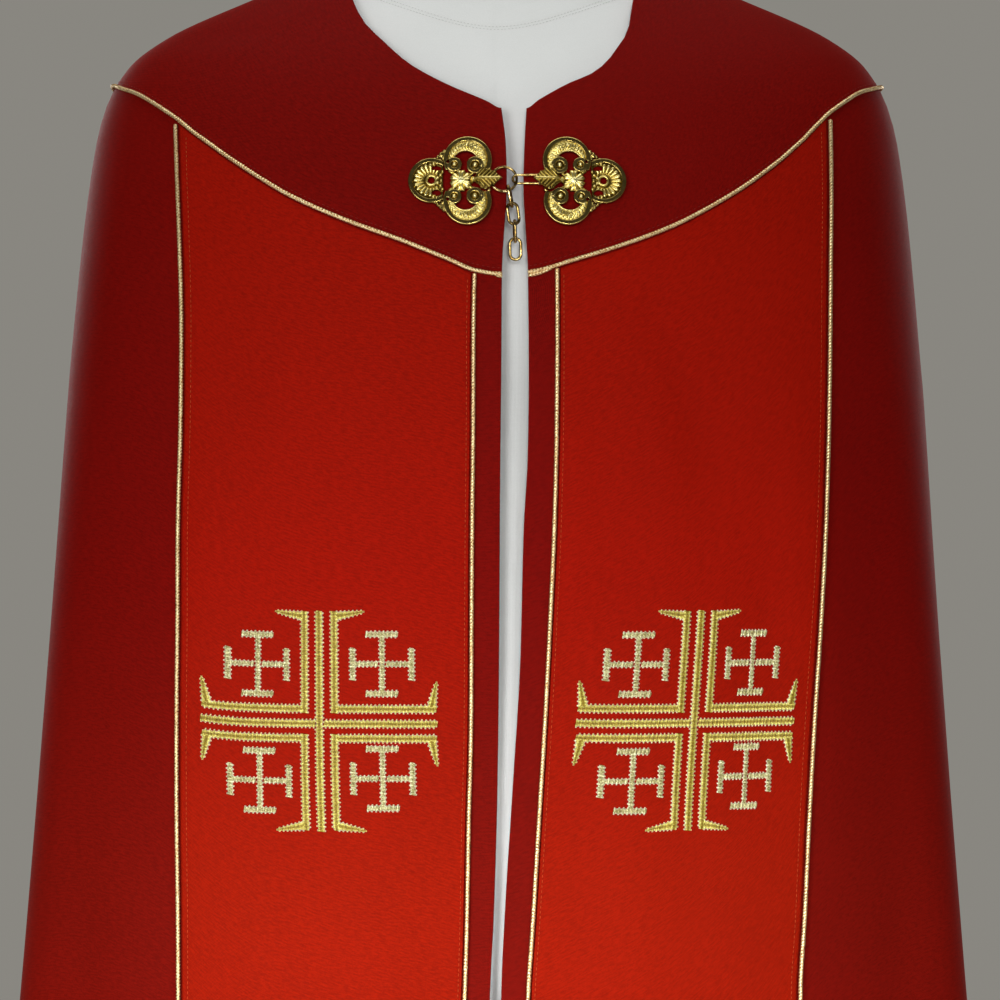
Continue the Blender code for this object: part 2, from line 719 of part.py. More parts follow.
def leaf_blade(side):
    """Lobed leaf outline that tapers to the tip, cut from plate."""
    data = bpy.data.curves.new("leaf", "CURVE")
    data.dimensions = "2D"
    data.fill_mode = "BOTH"
    data.extrude = (LEAF_TOP - LEAF_BOTTOM) / 2
    outline = [(side * u, h) for u, h in LEAF]
    outline += [(side * u, -h) for u, h in reversed(LEAF)]
    line = data.splines.new("POLY")
    line.points.add(len(outline) - 1)
    for knot, (u, v) in zip(line.points, outline):
        knot.co = (u, v, 0.0, 1.0)
    line.use_cyclic_u = True
    curve = bpy.data.objects.new("leaf", data)
    parts.objects.link(curve)
    mesh = evaluated_mesh(curve)
    solid = bpy.data.objects.new("leaf_solid", mesh)
    bm = bmesh.new()
    bm.from_mesh(mesh)
    bmesh.ops.recalc_face_normals(bm, faces=bm.faces)
    bm.to_mesh(mesh)
    bm.free()
    solid.location = (0, 0, (LEAF_TOP + LEAF_BOTTOM) / 2)
    parts.objects.link(solid)
    bpy.data.objects.remove(curve, do_unlink=True)
    return solid


def scroll(side, up):
    """One C-scroll plate: a disc cut flat towards the rosette."""
    cu, cv = side * SCROLL_AT[0], up * SCROLL_AT[1]
    plate = disc(cu, cv, SCROLL_RADIUS, 0.00005, 0.0020, 28)
    flat = cv + up * SCROLL_CUT
    away = flat - up * 0.03
    hole_u, hole_v, hole_r = SCROLL_HOLE
    combine(plate, [block(cu - 0.03, cu + 0.03, min(flat, away),
                          max(flat, away), -0.01, 0.01)], "DIFFERENCE")
    combine(plate, [disc(cu + side * hole_u, cv + up * hole_v, hole_r,
                         -0.01, 0.01, 18)], "DIFFERENCE")
    combine(plate, [disc(cu + side * u, cv + up * v, r, 0.0001, 0.0023, 16)
                    for u, v, r in VOLUTES], "UNION")
    slot = cu - side * 0.0030
    low, high = cv + up * -0.013, cv + up * -0.0035
    combine(plate, [block(slot - 0.0010, slot + 0.0010, min(low, high),
                          max(low, high), -0.01, 0.01)], "DIFFERENCE")
    return plate


def clasp(name, side, x):
    plate = disc(0, 0, ROSETTE_RADIUS, -0.00005, 0.0030, 18)
    shell = disc(side * SHELL_AT, 0, SHELL_RADIUS, 0.0, 0.0016, 26)
    combine(shell, [
        disc(side * (SHELL_AT + 0.0018), 0, 0.0023, -0.01, 0.01, 10),
        disc(side * -0.0176, 0.0084, 0.0020, -0.01, 0.01, 8),
        disc(side * -0.0176, -0.0084, 0.0020, -0.01, 0.01, 8),
        disc(side * -0.0100, 0, 1.0, -0.01, 0.01, 14, (0.0025, 0.0046)),
    ], "DIFFERENCE")
    combine(plate, [shell, scroll(side, 1), scroll(side, -1)], "UNION")
    combine(plate, [disc(side * -0.0150, up * 0.0185, 0.0030, 0.0002, 0.0014,
                         10) for up in (1, -1)], "UNION")
    combine(plate, [block(side * 0.0050, side * 0.0135, -0.0026, 0.0026,
                          0.0004, 0.0076)], "UNION")
    combine(plate, [leaf_blade(side)], "UNION")
    plate.data.transform(Matrix.Diagonal((*CLASP_STRETCH, 1.0, 1.0)))
    if side > 0:
        eye = RING_AT - RING_RADIUS
        lug = block(eye - 0.0023, eye + 0.0023, -0.0015, 0.0015,
                    FASTENING_OUT - 0.0022, 0.0077)
        combine(lug, [upright_pin(eye, 0.00135, 0.02)], "DIFFERENCE")
        combine(plate, [lug], "UNION")
    else:
        at = -PIN_AT
        for up in (1, -1):
            low, high = up * 0.0047, up * 0.0060
            combine(plate, [block(at - 0.0011, at + 0.0011, min(low, high),
                                  max(low, high), FASTENING_OUT - 0.0011,
                                  0.0077)], "UNION")
        combine(plate, [upright_pin(at, RING_WIRE, 0.0105)], "UNION")
    plate.name = name
    plate.data.name = name
    keep(plate, GILT)
    plate.matrix_world = clasp_frame(x)
    return plate


clasp("clasp_left", 1, LEFT_CLASP_X)
clasp("clasp_right", -1, RIGHT_CLASP_X)

LEFT_PLANE = clasp_frame(LEFT_CLASP_X)
RIGHT_PLANE = clasp_frame(RIGHT_CLASP_X)


def stadium(length, width, steps=6):
    """Closed line of a link: half circles joined by straight sides.

    length runs along the second axis, between the middles of the end bends.
    """
    radius = width / 2
    straight = length / 2 - radius
    line = []
    for k in range(steps + 1):
        turn = math.pi * k / steps
        line.append((radius * math.cos(turn), straight + radius * math.sin(turn)))
    for k in range(steps + 1):
        turn = math.pi + math.pi * k / steps
        line.append((radius * math.cos(turn), -straight + radius * math.sin(turn)))
    return line


# Ring, in the left plate's plane.
RING_SIDES = 22
ring = tube("clasp_ring",
            [(RING_RADIUS * math.cos(2 * math.pi * k / RING_SIDES),
              RING_RADIUS * math.sin(2 * math.pi * k / RING_SIDES), 0.0)
             for k in range(RING_SIDES)], RING_WIRE, GILT, closed=True)
ring_place = (LEFT_PLANE @ Matrix.Translation((RING_AT, 0, FASTENING_OUT))
              @ Matrix.Rotation(RING_LEAN, 4, "X"))
ring.matrix_world = ring_place

# Loop: from round the ring's right side to round the right plate's pin.
ring_side = ring_place @ Vector((RING_RADIUS, 0, 0))
pin_place = RIGHT_PLANE @ Vector((-PIN_AT, 0, FASTENING_OUT))
along = (pin_place - ring_side).normalized()
facing = (LEFT_PLANE.to_3x3() @ Vector((0, 0, 1))
          + RIGHT_PLANE.to_3x3() @ Vector((0, 0, 1))).normalized()
facing = (facing - along * facing.dot(along)).normalized()
rise = facing.cross(along)
PASSING = 2 * RING_WIRE + GAP + 0.0008
# The upper side comes forward and the lower side goes behind the ring.
cross_axis = (rise * math.cos(LOOP_TILT) + facing * math.sin(LOOP_TILT))
loop_normal = along.cross(cross_axis)
loop_length = (pin_place - ring_side).length + 2 * PASSING
loop = tube("clasp_loop",
            [(v, u, 0.0) for u, v in stadium(loop_length, LOOP_SPACING)],
            RING_WIRE, GILT, closed=True)
frame = Matrix((along, cross_axis, loop_normal)).transposed().to_4x4()
frame.translation = (ring_side + pin_place) / 2
loop.matrix_world = frame

# Chain tail: four links, each swinging on the bend that it hangs from.
pivot = ring_place @ Vector((RING_RADIUS * math.sin(CHAIN_FROM_BOTTOM),
                             -RING_RADIUS * math.cos(CHAIN_FROM_BOTTOM), 0))
hanging_from = RING_WIRE
for number, (turn, lean, play) in enumerate(
        zip(LINK_TURNS, LINK_LEANS, LINK_PLAY), start=1):
    hang = Matrix.Rotation(math.radians(-lean), 4, "Y")
    over = hanging_from + LINK_WIRE + play
    centre = over - LINK_LENGTH / 2
    link = tube("chain_link_%d" % number,
                [(u, 0.0, v + centre) for u, v in
                 stadium(LINK_LENGTH, LINK_WIDTH, 5)],
                LINK_WIRE, GILT, closed=True)
    link.matrix_world = (Matrix.Translation(pivot) @ hang
                         @ Matrix.Rotation(math.radians(turn), 4, "Z"))
    pivot = pivot + hang @ Vector((0, 0, over - LINK_LENGTH))
    hanging_from = LINK_WIRE
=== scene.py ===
"""Looks of the cope vestment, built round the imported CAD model.

Units are metres, +Z is up and the garment's front faces -Y.  The cloth's
surface is the one that the CAD follows: level sections that narrow from the
hem to the neck, with hanging flutes pushed out of them.
"""
import math
import random

import bmesh
import bpy
import numpy as np
from mathutils import Matrix, Vector


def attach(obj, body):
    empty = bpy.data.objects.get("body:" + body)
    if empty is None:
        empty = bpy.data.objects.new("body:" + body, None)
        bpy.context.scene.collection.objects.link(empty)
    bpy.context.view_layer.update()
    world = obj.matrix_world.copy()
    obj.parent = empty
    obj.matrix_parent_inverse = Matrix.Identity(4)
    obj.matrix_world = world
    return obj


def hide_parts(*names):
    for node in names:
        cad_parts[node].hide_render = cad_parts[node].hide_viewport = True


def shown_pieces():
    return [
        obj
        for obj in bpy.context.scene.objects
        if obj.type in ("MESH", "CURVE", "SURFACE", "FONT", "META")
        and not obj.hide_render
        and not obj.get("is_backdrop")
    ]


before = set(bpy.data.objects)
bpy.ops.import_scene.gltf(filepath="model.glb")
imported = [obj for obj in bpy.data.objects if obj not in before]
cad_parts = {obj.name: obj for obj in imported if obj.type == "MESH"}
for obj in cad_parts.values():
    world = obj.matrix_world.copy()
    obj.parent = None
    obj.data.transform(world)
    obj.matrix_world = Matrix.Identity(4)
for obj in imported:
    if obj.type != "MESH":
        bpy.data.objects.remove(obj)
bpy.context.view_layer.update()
random.seed(7)
NOISE = np.random.default_rng(7)

# ----------------------------------------------------------------- camera
camera_data = bpy.data.cameras.new("camera")
camera_data.sensor_width = 36.0
camera_data.lens = 115.0
camera_data.clip_end = 100.0
camera = bpy.data.objects.new("camera", camera_data)
bpy.context.scene.collection.objects.link(camera)
camera.location = (0.00216, -2.47, 1.117)
camera.rotation_euler = (math.radians(90.0), 0.0, 0.0)
bpy.context.scene.camera = camera
bpy.context.scene.view_settings.view_transform = "Standard"
bpy.context.scene.view_settings.look = "None"

# ------------------------------------------------------------------ sizes
GAP = 0.0003
CLOTH = 0.0015
BAND_CLOTH = 0.0012
CORD_RADIUS = 0.0018
HEM_HEIGHT = 0.080

LEVEL_COLUMNS = ("height", "half_width", "front_depth", "back_depth",
                 "square_left", "square_right", "square_back")
LEVELS = (
    (0.080, 0.390, 0.192, 0.230, 2.60, 2.15, 2.30),
    (0.400, 0.370, 0.184, 0.210, 2.60, 2.15, 2.30),
    (0.757, 0.350, 0.178, 0.190, 2.60, 2.10, 2.30),
    (1.000, 0.338, 0.173, 0.180, 2.60, 2.10, 2.30),
    (1.200, 0.328, 0.1635, 0.177, 2.60, 2.10, 2.30),
    (1.280, 0.322, 0.1570, 0.175, 2.60, 2.10, 2.30),
    (1.340, 0.316, 0.1515, 0.170, 2.50, 2.10, 2.30),
    (1.390, 0.309, 0.1345, 0.163, 2.40, 2.10, 2.20),
    (1.420, 0.301, 0.1205, 0.155, 2.30, 2.10, 2.15),
    (1.450, 0.284, 0.103, 0.142, 2.15, 2.05, 2.10),
    (1.472, 0.256, 0.088, 0.128, 2.00, 2.00, 2.00),
    (1.504, 0.186, 0.065, 0.100, 2.00, 2.00, 2.00),
    (1.530, 0.125, 0.047, 0.077, 2.00, 2.00, 2.00),
    (1.548, 0.088, 0.032, 0.060, 2.00, 2.00, 2.00),
    (1.570, 0.060, 0.020, 0.040, 2.00, 2.00, 2.00),
)
EDGE_COLUMNS = ("height", "left_edge", "right_edge")
EDGES = (
    (0.080, -0.0120, 0.0040),
    (0.400, -0.0100, 0.0020),
    (0.759, -0.0050, 0.0030),
    (0.820, -0.0022, 0.0056),
    (0.911, 0.0004, 0.0113),
    (1.003, 0.0015, 0.0168),
    (1.096, 0.0021, 0.0192),
    (1.150, 0.0025, 0.0222),
    (1.208, 0.0031, 0.0230),
    (1.282, 0.0036, 0.0224),
    (1.310, 0.0051, 0.0209),
    (1.345, 0.0072, 0.0192),
    (1.376, 0.0065, 0.0200),
    (1.405, 0.0032, 0.0215),
)
CORD_COLUMNS = ("height", "left_outer", "left_inner", "right_inner",
                "right_outer")
CORD_LINES = (
    (0.080, -0.2450, -0.0400, 0.0120, 0.2280),
    (0.400, -0.2370, -0.0320, 0.0150, 0.2200),
    (0.758, -0.2304, -0.0232, 0.0221, 0.2200),
    (0.812, -0.2303, -0.0216, 0.0256, 0.2228),
    (0.884, -0.2306, -0.0203, 0.0299, 0.2255),
    (0.955, -0.2303, -0.0186, 0.0343, 0.2288),
    (1.027, -0.2298, -0.0183, 0.0380, 0.2337),
    (1.099, -0.2304, -0.0179, 0.0413, 0.2387),
    (1.172, -0.2297, -0.0172, 0.0430, 0.2426),
    (1.245, -0.2302, -0.0170, 0.0435, 0.2449),
    (1.320, -0.2330, -0.0156, 0.0434, 0.2464),
    (1.400, -0.2384, -0.0156, 0.0434, 0.2481),
)
NECK = (
    (-180.0, 1.537), (-150.0, 1.539), (-120.0, 1.541), (-90.0, 1.539),
    (-75.0, 1.523), (-60.4, 1.4939), (-50.6, 1.4731), (-42.5, 1.4593),
    (-30.6, 1.4394), (-17.7, 1.4240), (-3.0, 1.4098), (1.0, 1.4050),
    (9.3, 1.4046), (13.9, 1.4114), (24.1, 1.4242), (32.7, 1.4331),
    (43.0, 1.4529), (48.5, 1.4663), (58.3, 1.4937), (75.0, 1.523),
    (90.0, 1.539), (120.0, 1.541), (150.0, 1.539), (180.0, 1.537),
)
YOKE_EDGE = (
    (-180.0, 1.340), (-150.0, 1.355), (-120.0, 1.400), (-100.0, 1.429),
    (-88.0, 1.434), (-79.0, 1.425), (-70.2, 1.4048), (-64.0, 1.3855),
    (-54.5, 1.3581), (-45.3, 1.3356), (-35.4, 1.3189), (-24.5, 1.3055),
    (-12.2, 1.2907), (-5.7, 1.2831), (1.0, 1.2805), (8.6, 1.2820),
    (19.9, 1.2910), (31.7, 1.3027), (42.3, 1.3174), (52.1, 1.3387),
    (61.6, 1.3659), (66.5, 1.3829), (72.9, 1.4072), (81.0, 1.427),
    (90.0, 1.434), (102.0, 1.428), (120.0, 1.400), (150.0, 1.355),
    (180.0, 1.340),
)
FLUTE_COLUMNS = ("angle", "half_width", "depth", "start")
FLUTES = (
    (-79.0, 10.5, 0.046, 1.31), (-99.5, 11.0, 0.058, 1.37),
    (-121.0, 11.5, 0.055, 1.30), (-142.5, 10.5, 0.064, 1.26),
    (-162.0, 9.5, 0.050, 1.22), (-180.0, 9.0, 0.060, 1.25),
    (162.5, 9.0, 0.056, 1.20), (143.0, 10.5, 0.052, 1.29),
    (122.0, 11.0, 0.064, 1.27), (101.0, 11.0, 0.055, 1.36),
    (80.5, 10.0, 0.044, 1.30),
)
SOFT_COLUMNS = ("angle", "half_width", "depth", "top", "bottom")
SOFT_FOLDS = (
    (48.0, 12.0, -0.0035, 1.33, 0.98), (61.0, 9.0, 0.0030, 1.30, 0.70),
    (-44.0, 11.0, -0.0020, 1.25, 0.80), (-57.0, 8.0, 0.0022, 1.28, 0.72),
    (30.0, 12.0, 0.0020, 1.10, 0.60), (-25.0, 12.0, 0.0018, 1.05, 0.50),
)
# Fine creases that only the finished cloth shows: a line from one place to
# another on the cloth (angle, height), how wide and how deep it is.
CREASE_COLUMNS = ("angle_1", "height_1", "angle_2", "height_2",
                  "half_width", "depth")
CREASES = (
    (45.5, 1.470, 41.0, 1.420, 0.010, -0.0016),
    (41.0, 1.420, 35.0, 1.388, 0.009, -0.0014),
    (47.5, 1.388, 44.5, 1.360, 0.008, -0.0012),
    (52.0, 1.462, 55.0, 1.400, 0.016, 0.0014),
    (-60.0, 1.462, -66.0, 1.425, 0.018, -0.0016),
    (-38.0, 1.436, -34.0, 1.350, 0.022, 0.0009),
    (24.0, 1.400, 28.0, 1.320, 0.018, 0.0008),
    (36.0, 1.275, 46.0, 1.140, 0.026, -0.0016),
    (-30.0, 1.240, -26.0, 1.080, 0.030, 0.0010),
    (-52.0, 1.240, -49.0, 0.960, 0.022, -0.0012),
    (57.0, 1.180, 52.0, 0.900, 0.020, -0.0014),
    (18.0, 1.220, 20.0, 1.020, 0.022, 0.0008),
    (-150.0, 1.330, -141.0, 1.180, 0.020, -0.0030),
    (-128.0, 1.330, -122.0, 1.160, 0.022, -0.0026),
    (-172.0, 1.300, -170.0, 1.080, 0.020, -0.0028),
    (174.0, 1.310, 171.0, 1.120, 0.018, -0.0024),
    (151.0, 1.320, 154.0, 1.150, 0.020, -0.0030),
    (131.0, 1.340, 127.0, 1.190, 0.022, -0.0028),
    (110.0, 1.400, 112.0, 1.230, 0.020, -0.0024),
    (-110.0, 1.400, -109.0, 1.210, 0.020, -0.0026),
    (92.0, 1.395, 90.0, 1.210, 0.020, -0.0020),
    (-90.0, 1.395, -89.0, 1.230, 0.020, -0.0020),
)


# ------------------------------------------------------- smooth look-ups
class Smooth:
    """Monotone cubic through points whose xs rise; takes arrays."""

    def __init__(self, xs, ys):
        self.xs, self.ys = np.array(xs, float), np.array(ys, float)
        rise = np.diff(self.ys) / np.diff(self.xs)
        slopes = np.zeros(len(xs))
        slopes[0], slopes[-1] = rise[0], rise[-1]
        for k in range(1, len(xs) - 1):
            a, b = rise[k - 1], rise[k]
            slopes[k] = 0.0 if a * b <= 0 else 2 * a * b / (a + b)
        self.slopes = slopes

    def __call__(self, x):
        x = np.clip(np.asarray(x, float), self.xs[0], self.xs[-1])
        k = np.clip(np.searchsorted(self.xs, x, side="right") - 1, 0,
                    len(self.xs) - 2)
        step = self.xs[k + 1] - self.xs[k]
        t = (x - self.xs[k]) / step
        return ((2 * t ** 3 - 3 * t * t + 1) * self.ys[k]
                + (t ** 3 - 2 * t * t + t) * step * self.slopes[k]
                + (3 * t * t - 2 * t ** 3) * self.ys[k + 1]
                + (t ** 3 - t * t) * step * self.slopes[k + 1])


def readers(table, columns):
    xs = [row[0] for row in table]
    return {name: Smooth(xs, [row[i] for row in table])
            for i, name in enumerate(columns) if i}


LEVEL = readers(LEVELS, LEVEL_COLUMNS)
EDGE = readers(EDGES, EDGE_COLUMNS)
CORD_LINE = readers(CORD_LINES, CORD_COLUMNS)
NECK_LINE = Smooth(*zip(*NECK))
YOKE_LINE = Smooth(*zip(*YOKE_EDGE))


def wrapped(angle):
    return (np.asarray(angle) + 180.0) % 360.0 - 180.0


def smoothstep(low, high, x):
    t = np.clip((x - low) / (high - low), 0.0, 1.0)
    return t * t * (3 - 2 * t)


# ------------------------------------------------------ the cloth surface
def section(angle, height):
    turn = np.radians(angle)
    side, ahead = np.sin(turn), np.cos(turn)
    depth = np.where(ahead >= 0, LEVEL["front_depth"](height),
                     LEVEL["back_depth"](height))
    square = np.where(ahead >= 0,
                      np.where(side < 0, LEVEL["square_left"](height),
                               LEVEL["square_right"](height)),
                      LEVEL["square_back"](height))
    width = LEVEL["half_width"](height)
    return ((np.abs(side) / width) ** square
            + (np.abs(ahead) / depth) ** square) ** (-1 / square)


def fold_depth(angle, height):
    out = np.zeros(np.broadcast(angle, height).shape)
    for at, half, depth, start in FLUTES:
        off = np.abs(wrapped(angle - at))
        fall = np.clip((start - height) / (start - HEM_HEIGHT), 0, None)
        out += np.where(off < half, depth * fall ** 1.25
                        * np.cos(np.pi / 2 * off / half) ** 2, 0.0)
    for at, half, depth, top, bottom in SOFT_FOLDS:
        off = np.abs(wrapped(angle - at))
        along = np.clip((height - bottom) / (top - bottom), 0, 1)
        out += np.where(off < half, depth * np.sin(np.pi * along) ** 2
                        * np.cos(np.pi / 2 * off / half) ** 2, 0.0)
    return out


def crease_depth(angle, height):
    """Creases as soft lines, faded at both ends."""
    reach = 0.27
    out = np.zeros(np.broadcast(angle, height).shape)
    for a1, h1, a2, h2, half, depth in CREASES:
        dx = math.radians(a2 - a1) * reach
        dz = h2 - h1
        length = math.hypot(dx, dz)
        px = np.radians(wrapped(angle - a1)) * reach
        pz = height - h1
        along = (px * dx + pz * dz) / length ** 2
        across = np.abs(px * dz - pz * dx) / length
        fade = np.clip(1.0 - np.clip(np.abs(along - 0.5) - 0.32, 0, None)
                       / 0.30, 0, 1)
        fade = fade * fade * (3 - 2 * fade)
        out += depth * fade * np.exp(-(across / half) ** 2 * 1.6)
    return out


def cloth_point(angle, height):
    turn = np.radians(angle)
    reach = (section(angle, height) + fold_depth(angle, height)
             + crease_depth(angle, height))
    return np.stack((reach * np.sin(turn), -reach * np.cos(turn),
                     np.broadcast_to(height, reach.shape)), -1)


def unit(v):
    return v / np.linalg.norm(v, axis=-1, keepdims=True)


def cloth_normal(angle, height):
    around = cloth_point(angle + 0.4, height) - cloth_point(angle - 0.4, height)
    up = cloth_point(angle, height + 0.001) - cloth_point(angle, height - 0.001)
    return unit(np.cross(around, up))


def angle_at(x, height):
    width = LEVEL["half_width"](height)
    depth = LEVEL["front_depth"](height)
    square = np.where(x < 0, LEVEL["square_left"](height),
                      LEVEL["square_right"](height))
    share = np.minimum(np.abs(x) / width, 0.999)
    return np.degrees(np.arctan2(x, depth * (1 - share ** square)
                                 ** (1 / square)))


BESIDE_CORD = CORD_RADIUS + GAP + 0.0004
UNDER_CORD = CORD_RADIUS + GAP + 0.0003


def marks(height):
    """Angles of the front edges and of the orphreys' edges at a height."""
    return np.stack((
        angle_at(EDGE["left_edge"](height), height),
        angle_at(CORD_LINE["left_inner"](height) - BESIDE_CORD, height),
        angle_at(CORD_LINE["left_outer"](height) + BESIDE_CORD, height),
        angle_at(CORD_LINE["right_outer"](height) - BESIDE_CORD, height) - 360,
        angle_at(CORD_LINE["right_inner"](height) + BESIDE_CORD, height) - 360,
        angle_at(EDGE["right_edge"](height), height) - 360), 0)


def column_angle(place, height):
    """place runs 0..5 round the garment, a whole number at each mark."""
    place, height = np.broadcast_arrays(np.asarray(place, float),
                                        np.asarray(height, float))
    at = marks(height)
    k = np.clip(place.astype(int), 0, 4)
    low = np.take_along_axis(at, k[None], 0)[0]
    high = np.take_along_axis(at, k[None] + 1, 0)[0]
    return low + (high - low) * (place - k)


def seam_height(place):
    height = np.full(np.shape(place), 1.35)
    for _ in range(40):
        height = 0.5 * (height + YOKE_LINE(wrapped(column_angle(place, height))))
    return height


def zones(counts, edge_steps=()):
    """Places round the garment, with counts steps between the marks."""
    out = [0.0]
    for k, count in enumerate(counts):
        out += [k + (i + 1) / count for i in range(count)]
    extra = [s for s in edge_steps] + [5.0 - s for s in edge_steps]
    return np.array(sorted(set(out) | set(extra)))


# ------------------------------------------------------------ mesh makers
def build_mesh(name, verts, faces, uv=None, smooth=True):
    verts = np.asarray(verts, np.float32).reshape(-1, 3)
    faces = [np.asarray(f, np.int32) for f in faces if len(f)]
    loops = np.concatenate([f.ravel() for f in faces])
    counts = np.concatenate([np.full(len(f), f.shape[1], np.int32)
                             for f in faces])
    starts = np.concatenate(([0], np.cumsum(counts)[:-1])).astype(np.int32)
    mesh = bpy.data.meshes.new(name)
    mesh.vertices.add(len(verts))
    mesh.vertices.foreach_set("co", verts.ravel())
    mesh.loops.add(len(loops))
    mesh.loops.foreach_set("vertex_index", loops)
    mesh.polygons.add(len(counts))
    mesh.polygons.foreach_set("loop_start", starts)
    mesh.update(calc_edges=True)
    mesh.validate()
    if uv is not None:
        layer = mesh.uv_layers.new(name="weave")
        uv = np.asarray(uv, np.float32).reshape(-1, 2)
        index = np.zeros(len(mesh.loops), np.int32)
        mesh.loops.foreach_get("vertex_index", index)
        layer.uv.foreach_set("vector", uv[index].ravel())
    if smooth:
        mesh.shade_smooth()
    return mesh


def add_object(name, mesh, mat, body="cope"):
    obj = bpy.data.objects.new(name, mesh)
    bpy.context.scene.collection.objects.link(obj)
    obj.data.materials.clear()
    obj.data.materials.append(mat)
    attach(obj, body)
    return obj


def grid_faces(rows, cols, base=0, flip=False, wrap=False):
    r, c = np.meshgrid(np.arange(rows - 1),
                       np.arange(cols if wrap else cols - 1), indexing="ij")
    nxt = (c + 1) % cols
    quad = np.stack((r * cols + c, r * cols + nxt, (r + 1) * cols + nxt,
                     (r + 1) * cols + c), -1).reshape(-1, 4) + base
    return quad[:, ::-1] if flip else quad


def lengths_along(points, axis):
    step = np.linalg.norm(np.diff(points, axis=axis), axis=-1)
    zero = np.zeros_like(np.take(step, [0], axis=axis))
    return np.concatenate((zero, np.cumsum(step, axis=axis)), axis=axis)


def shell(name, points, normals, thickness, mat, roll=True):
    """Thin cloth: points are its outer face; its edges are folded round."""
    rows, cols = points.shape[:2]
    middle = points - normals * thickness / 2
    half = np.full((rows, cols), thickness / 2)
    if roll:
        down = lengths_along(points, 0)
        across = lengths_along(points, 1)
        for d in (down, down[-1:] - down, across, across[:, -1:] - across):
            t = np.clip(d / (thickness * 0.75), 0, 1)
            half = np.minimum(half, thickness / 2
                              * np.sqrt(np.clip(1 - (1 - t) ** 2, 0.03, 1)))
    outer = middle + normals * half[..., None]
    inner = middle - normals * half[..., None]
    verts = np.concatenate((outer.reshape(-1, 3), inner.reshape(-1, 3)))
    base = rows * cols
    front = grid_faces(rows, cols)
    back = grid_faces(rows, cols, base, flip=True)
    rim = ([(0, c) for c in range(cols)]
           + [(r, cols - 1) for r in range(1, rows)]
           + [(rows - 1, c) for c in range(cols - 2, -1, -1)]
           + [(r, 0) for r in range(rows - 2, 0, -1)])
    index = np.array([r * cols + c for r, c in rim])
    nxt = np.roll(index, -1)
    sides = np.stack((nxt, index, index + base, nxt + base), -1)
    uv = np.stack((lengths_along(points, 1), lengths_along(points, 0)), -1)
    uv = uv.reshape(-1, 2)
    faces = [front, back, sides]
    if facing_in(verts, front):
        faces = [f[:, ::-1] for f in faces]
    mesh = build_mesh(name, verts, faces, np.concatenate((uv, uv)))
    return add_object(name, mesh, mat)


def facing_in(verts, faces):
    """Whether the first faces look towards the garment's axis."""
    some = faces[:: max(1, len(faces) // 400)]
    a, b, c = (verts[some[:, k]] for k in (0, 1, 2))
    normal = np.cross(b - a, c - a)
    out = a * np.array((1.0, 1.0, 0.0))
    return (normal * out).sum() < 0


def frames_along(points, normals=None, closed=False):
    """Tangents, normals and sideways directions along a line."""
    if closed:
        tangent = np.roll(points, -1, 0) - np.roll(points, 1, 0)
    else:
        tangent = np.gradient(points, axis=0)
    tangent = unit(tangent)
    if normals is None:
        normals = np.zeros_like(points)
        ref = np.array((0.0, 0.0, 1.0))
        if abs(tangent[0] @ ref) > 0.9:
            ref = np.array((1.0, 0.0, 0.0))
        current = unit(ref - tangent[0] * (ref @ tangent[0]))
        for k, t in enumerate(tangent):
            current = unit(current - t * (current @ t))
            normals[k] = current
    else:
        normals = unit(normals - tangent
                       * (normals * tangent).sum(-1, keepdims=True))
    return tangent, normals, np.cross(tangent, normals)


def sweep(points, radius, sides, normals=None, closed=False, lobes=None):
    """Tube along points. lobes(turns, distance) scales its radius."""
    tangent, up, side = frames_along(points, normals, closed)
    turns = np.arange(sides) / sides * 2 * np.pi
    distance = lengths_along(points[:, None], 0)[:, 0]
    scale = (np.ones((len(points), sides)) if lobes is None
             else lobes(turns[None, :], distance[:, None]))
    r = np.broadcast_to(np.asarray(radius, float).reshape(-1, 1),
                        (len(points), 1)) * scale
    verts = (points[:, None] + up[:, None] * (r * np.cos(turns))[..., None]
             + side[:, None] * (r * np.sin(turns))[..., None])
    count = len(points)
    uv = np.stack(np.broadcast_arrays(distance[:, None],
                                      turns[None, :] / (2 * np.pi)), -1)
    if closed:
        verts2 = verts.reshape(-1, 3)
        r_, c_ = np.meshgrid(np.arange(count), np.arange(sides), indexing="ij")
        n_, m_ = (r_ + 1) % count, (c_ + 1) % sides
        quads = np.stack((r_ * sides + c_, r_ * sides + m_, n_ * sides + m_,
                          n_ * sides + c_), -1).reshape(-1, 4)
        return verts2, [quads[:, ::-1]], uv.reshape(-1, 2)
    quads = grid_faces(count, sides, wrap=True)
    flat = verts.reshape(-1, 3)
    ends = np.array((points[0] - tangent[0] * 0.3 * r[0].mean(),
                     points[-1] + tangent[-1] * 0.3 * r[-1].mean()))
    first, last = len(flat), len(flat) + 1
    k = np.arange(sides)
    m = (k + 1) % sides
    cap_a = np.stack((np.full(sides, first), m, k), -1)
    top = (count - 1) * sides
    cap_b = np.stack((np.full(sides, last), top + k, top + m), -1)
    uv = np.concatenate((uv.reshape(-1, 2), [[0, 0], [distance[-1], 0]]))
    return (np.concatenate((flat, ends)),
            [quads[:, ::-1], cap_a[:, ::-1], cap_b[:, ::-1]], uv)


def joined(parts):
    """Several (verts, faces, uv) as one."""
    verts, by_size, uvs, base = [], {}, [], 0
    for v, faces, uv in parts:
        verts.append(v)
        uvs.append(uv)
        for f in faces:
            by_size.setdefault(f.shape[1], []).append(f + base)
        base += len(v)
    return (np.concatenate(verts),
            [np.concatenate(f) for f in by_size.values()],
            np.concatenate(uvs))


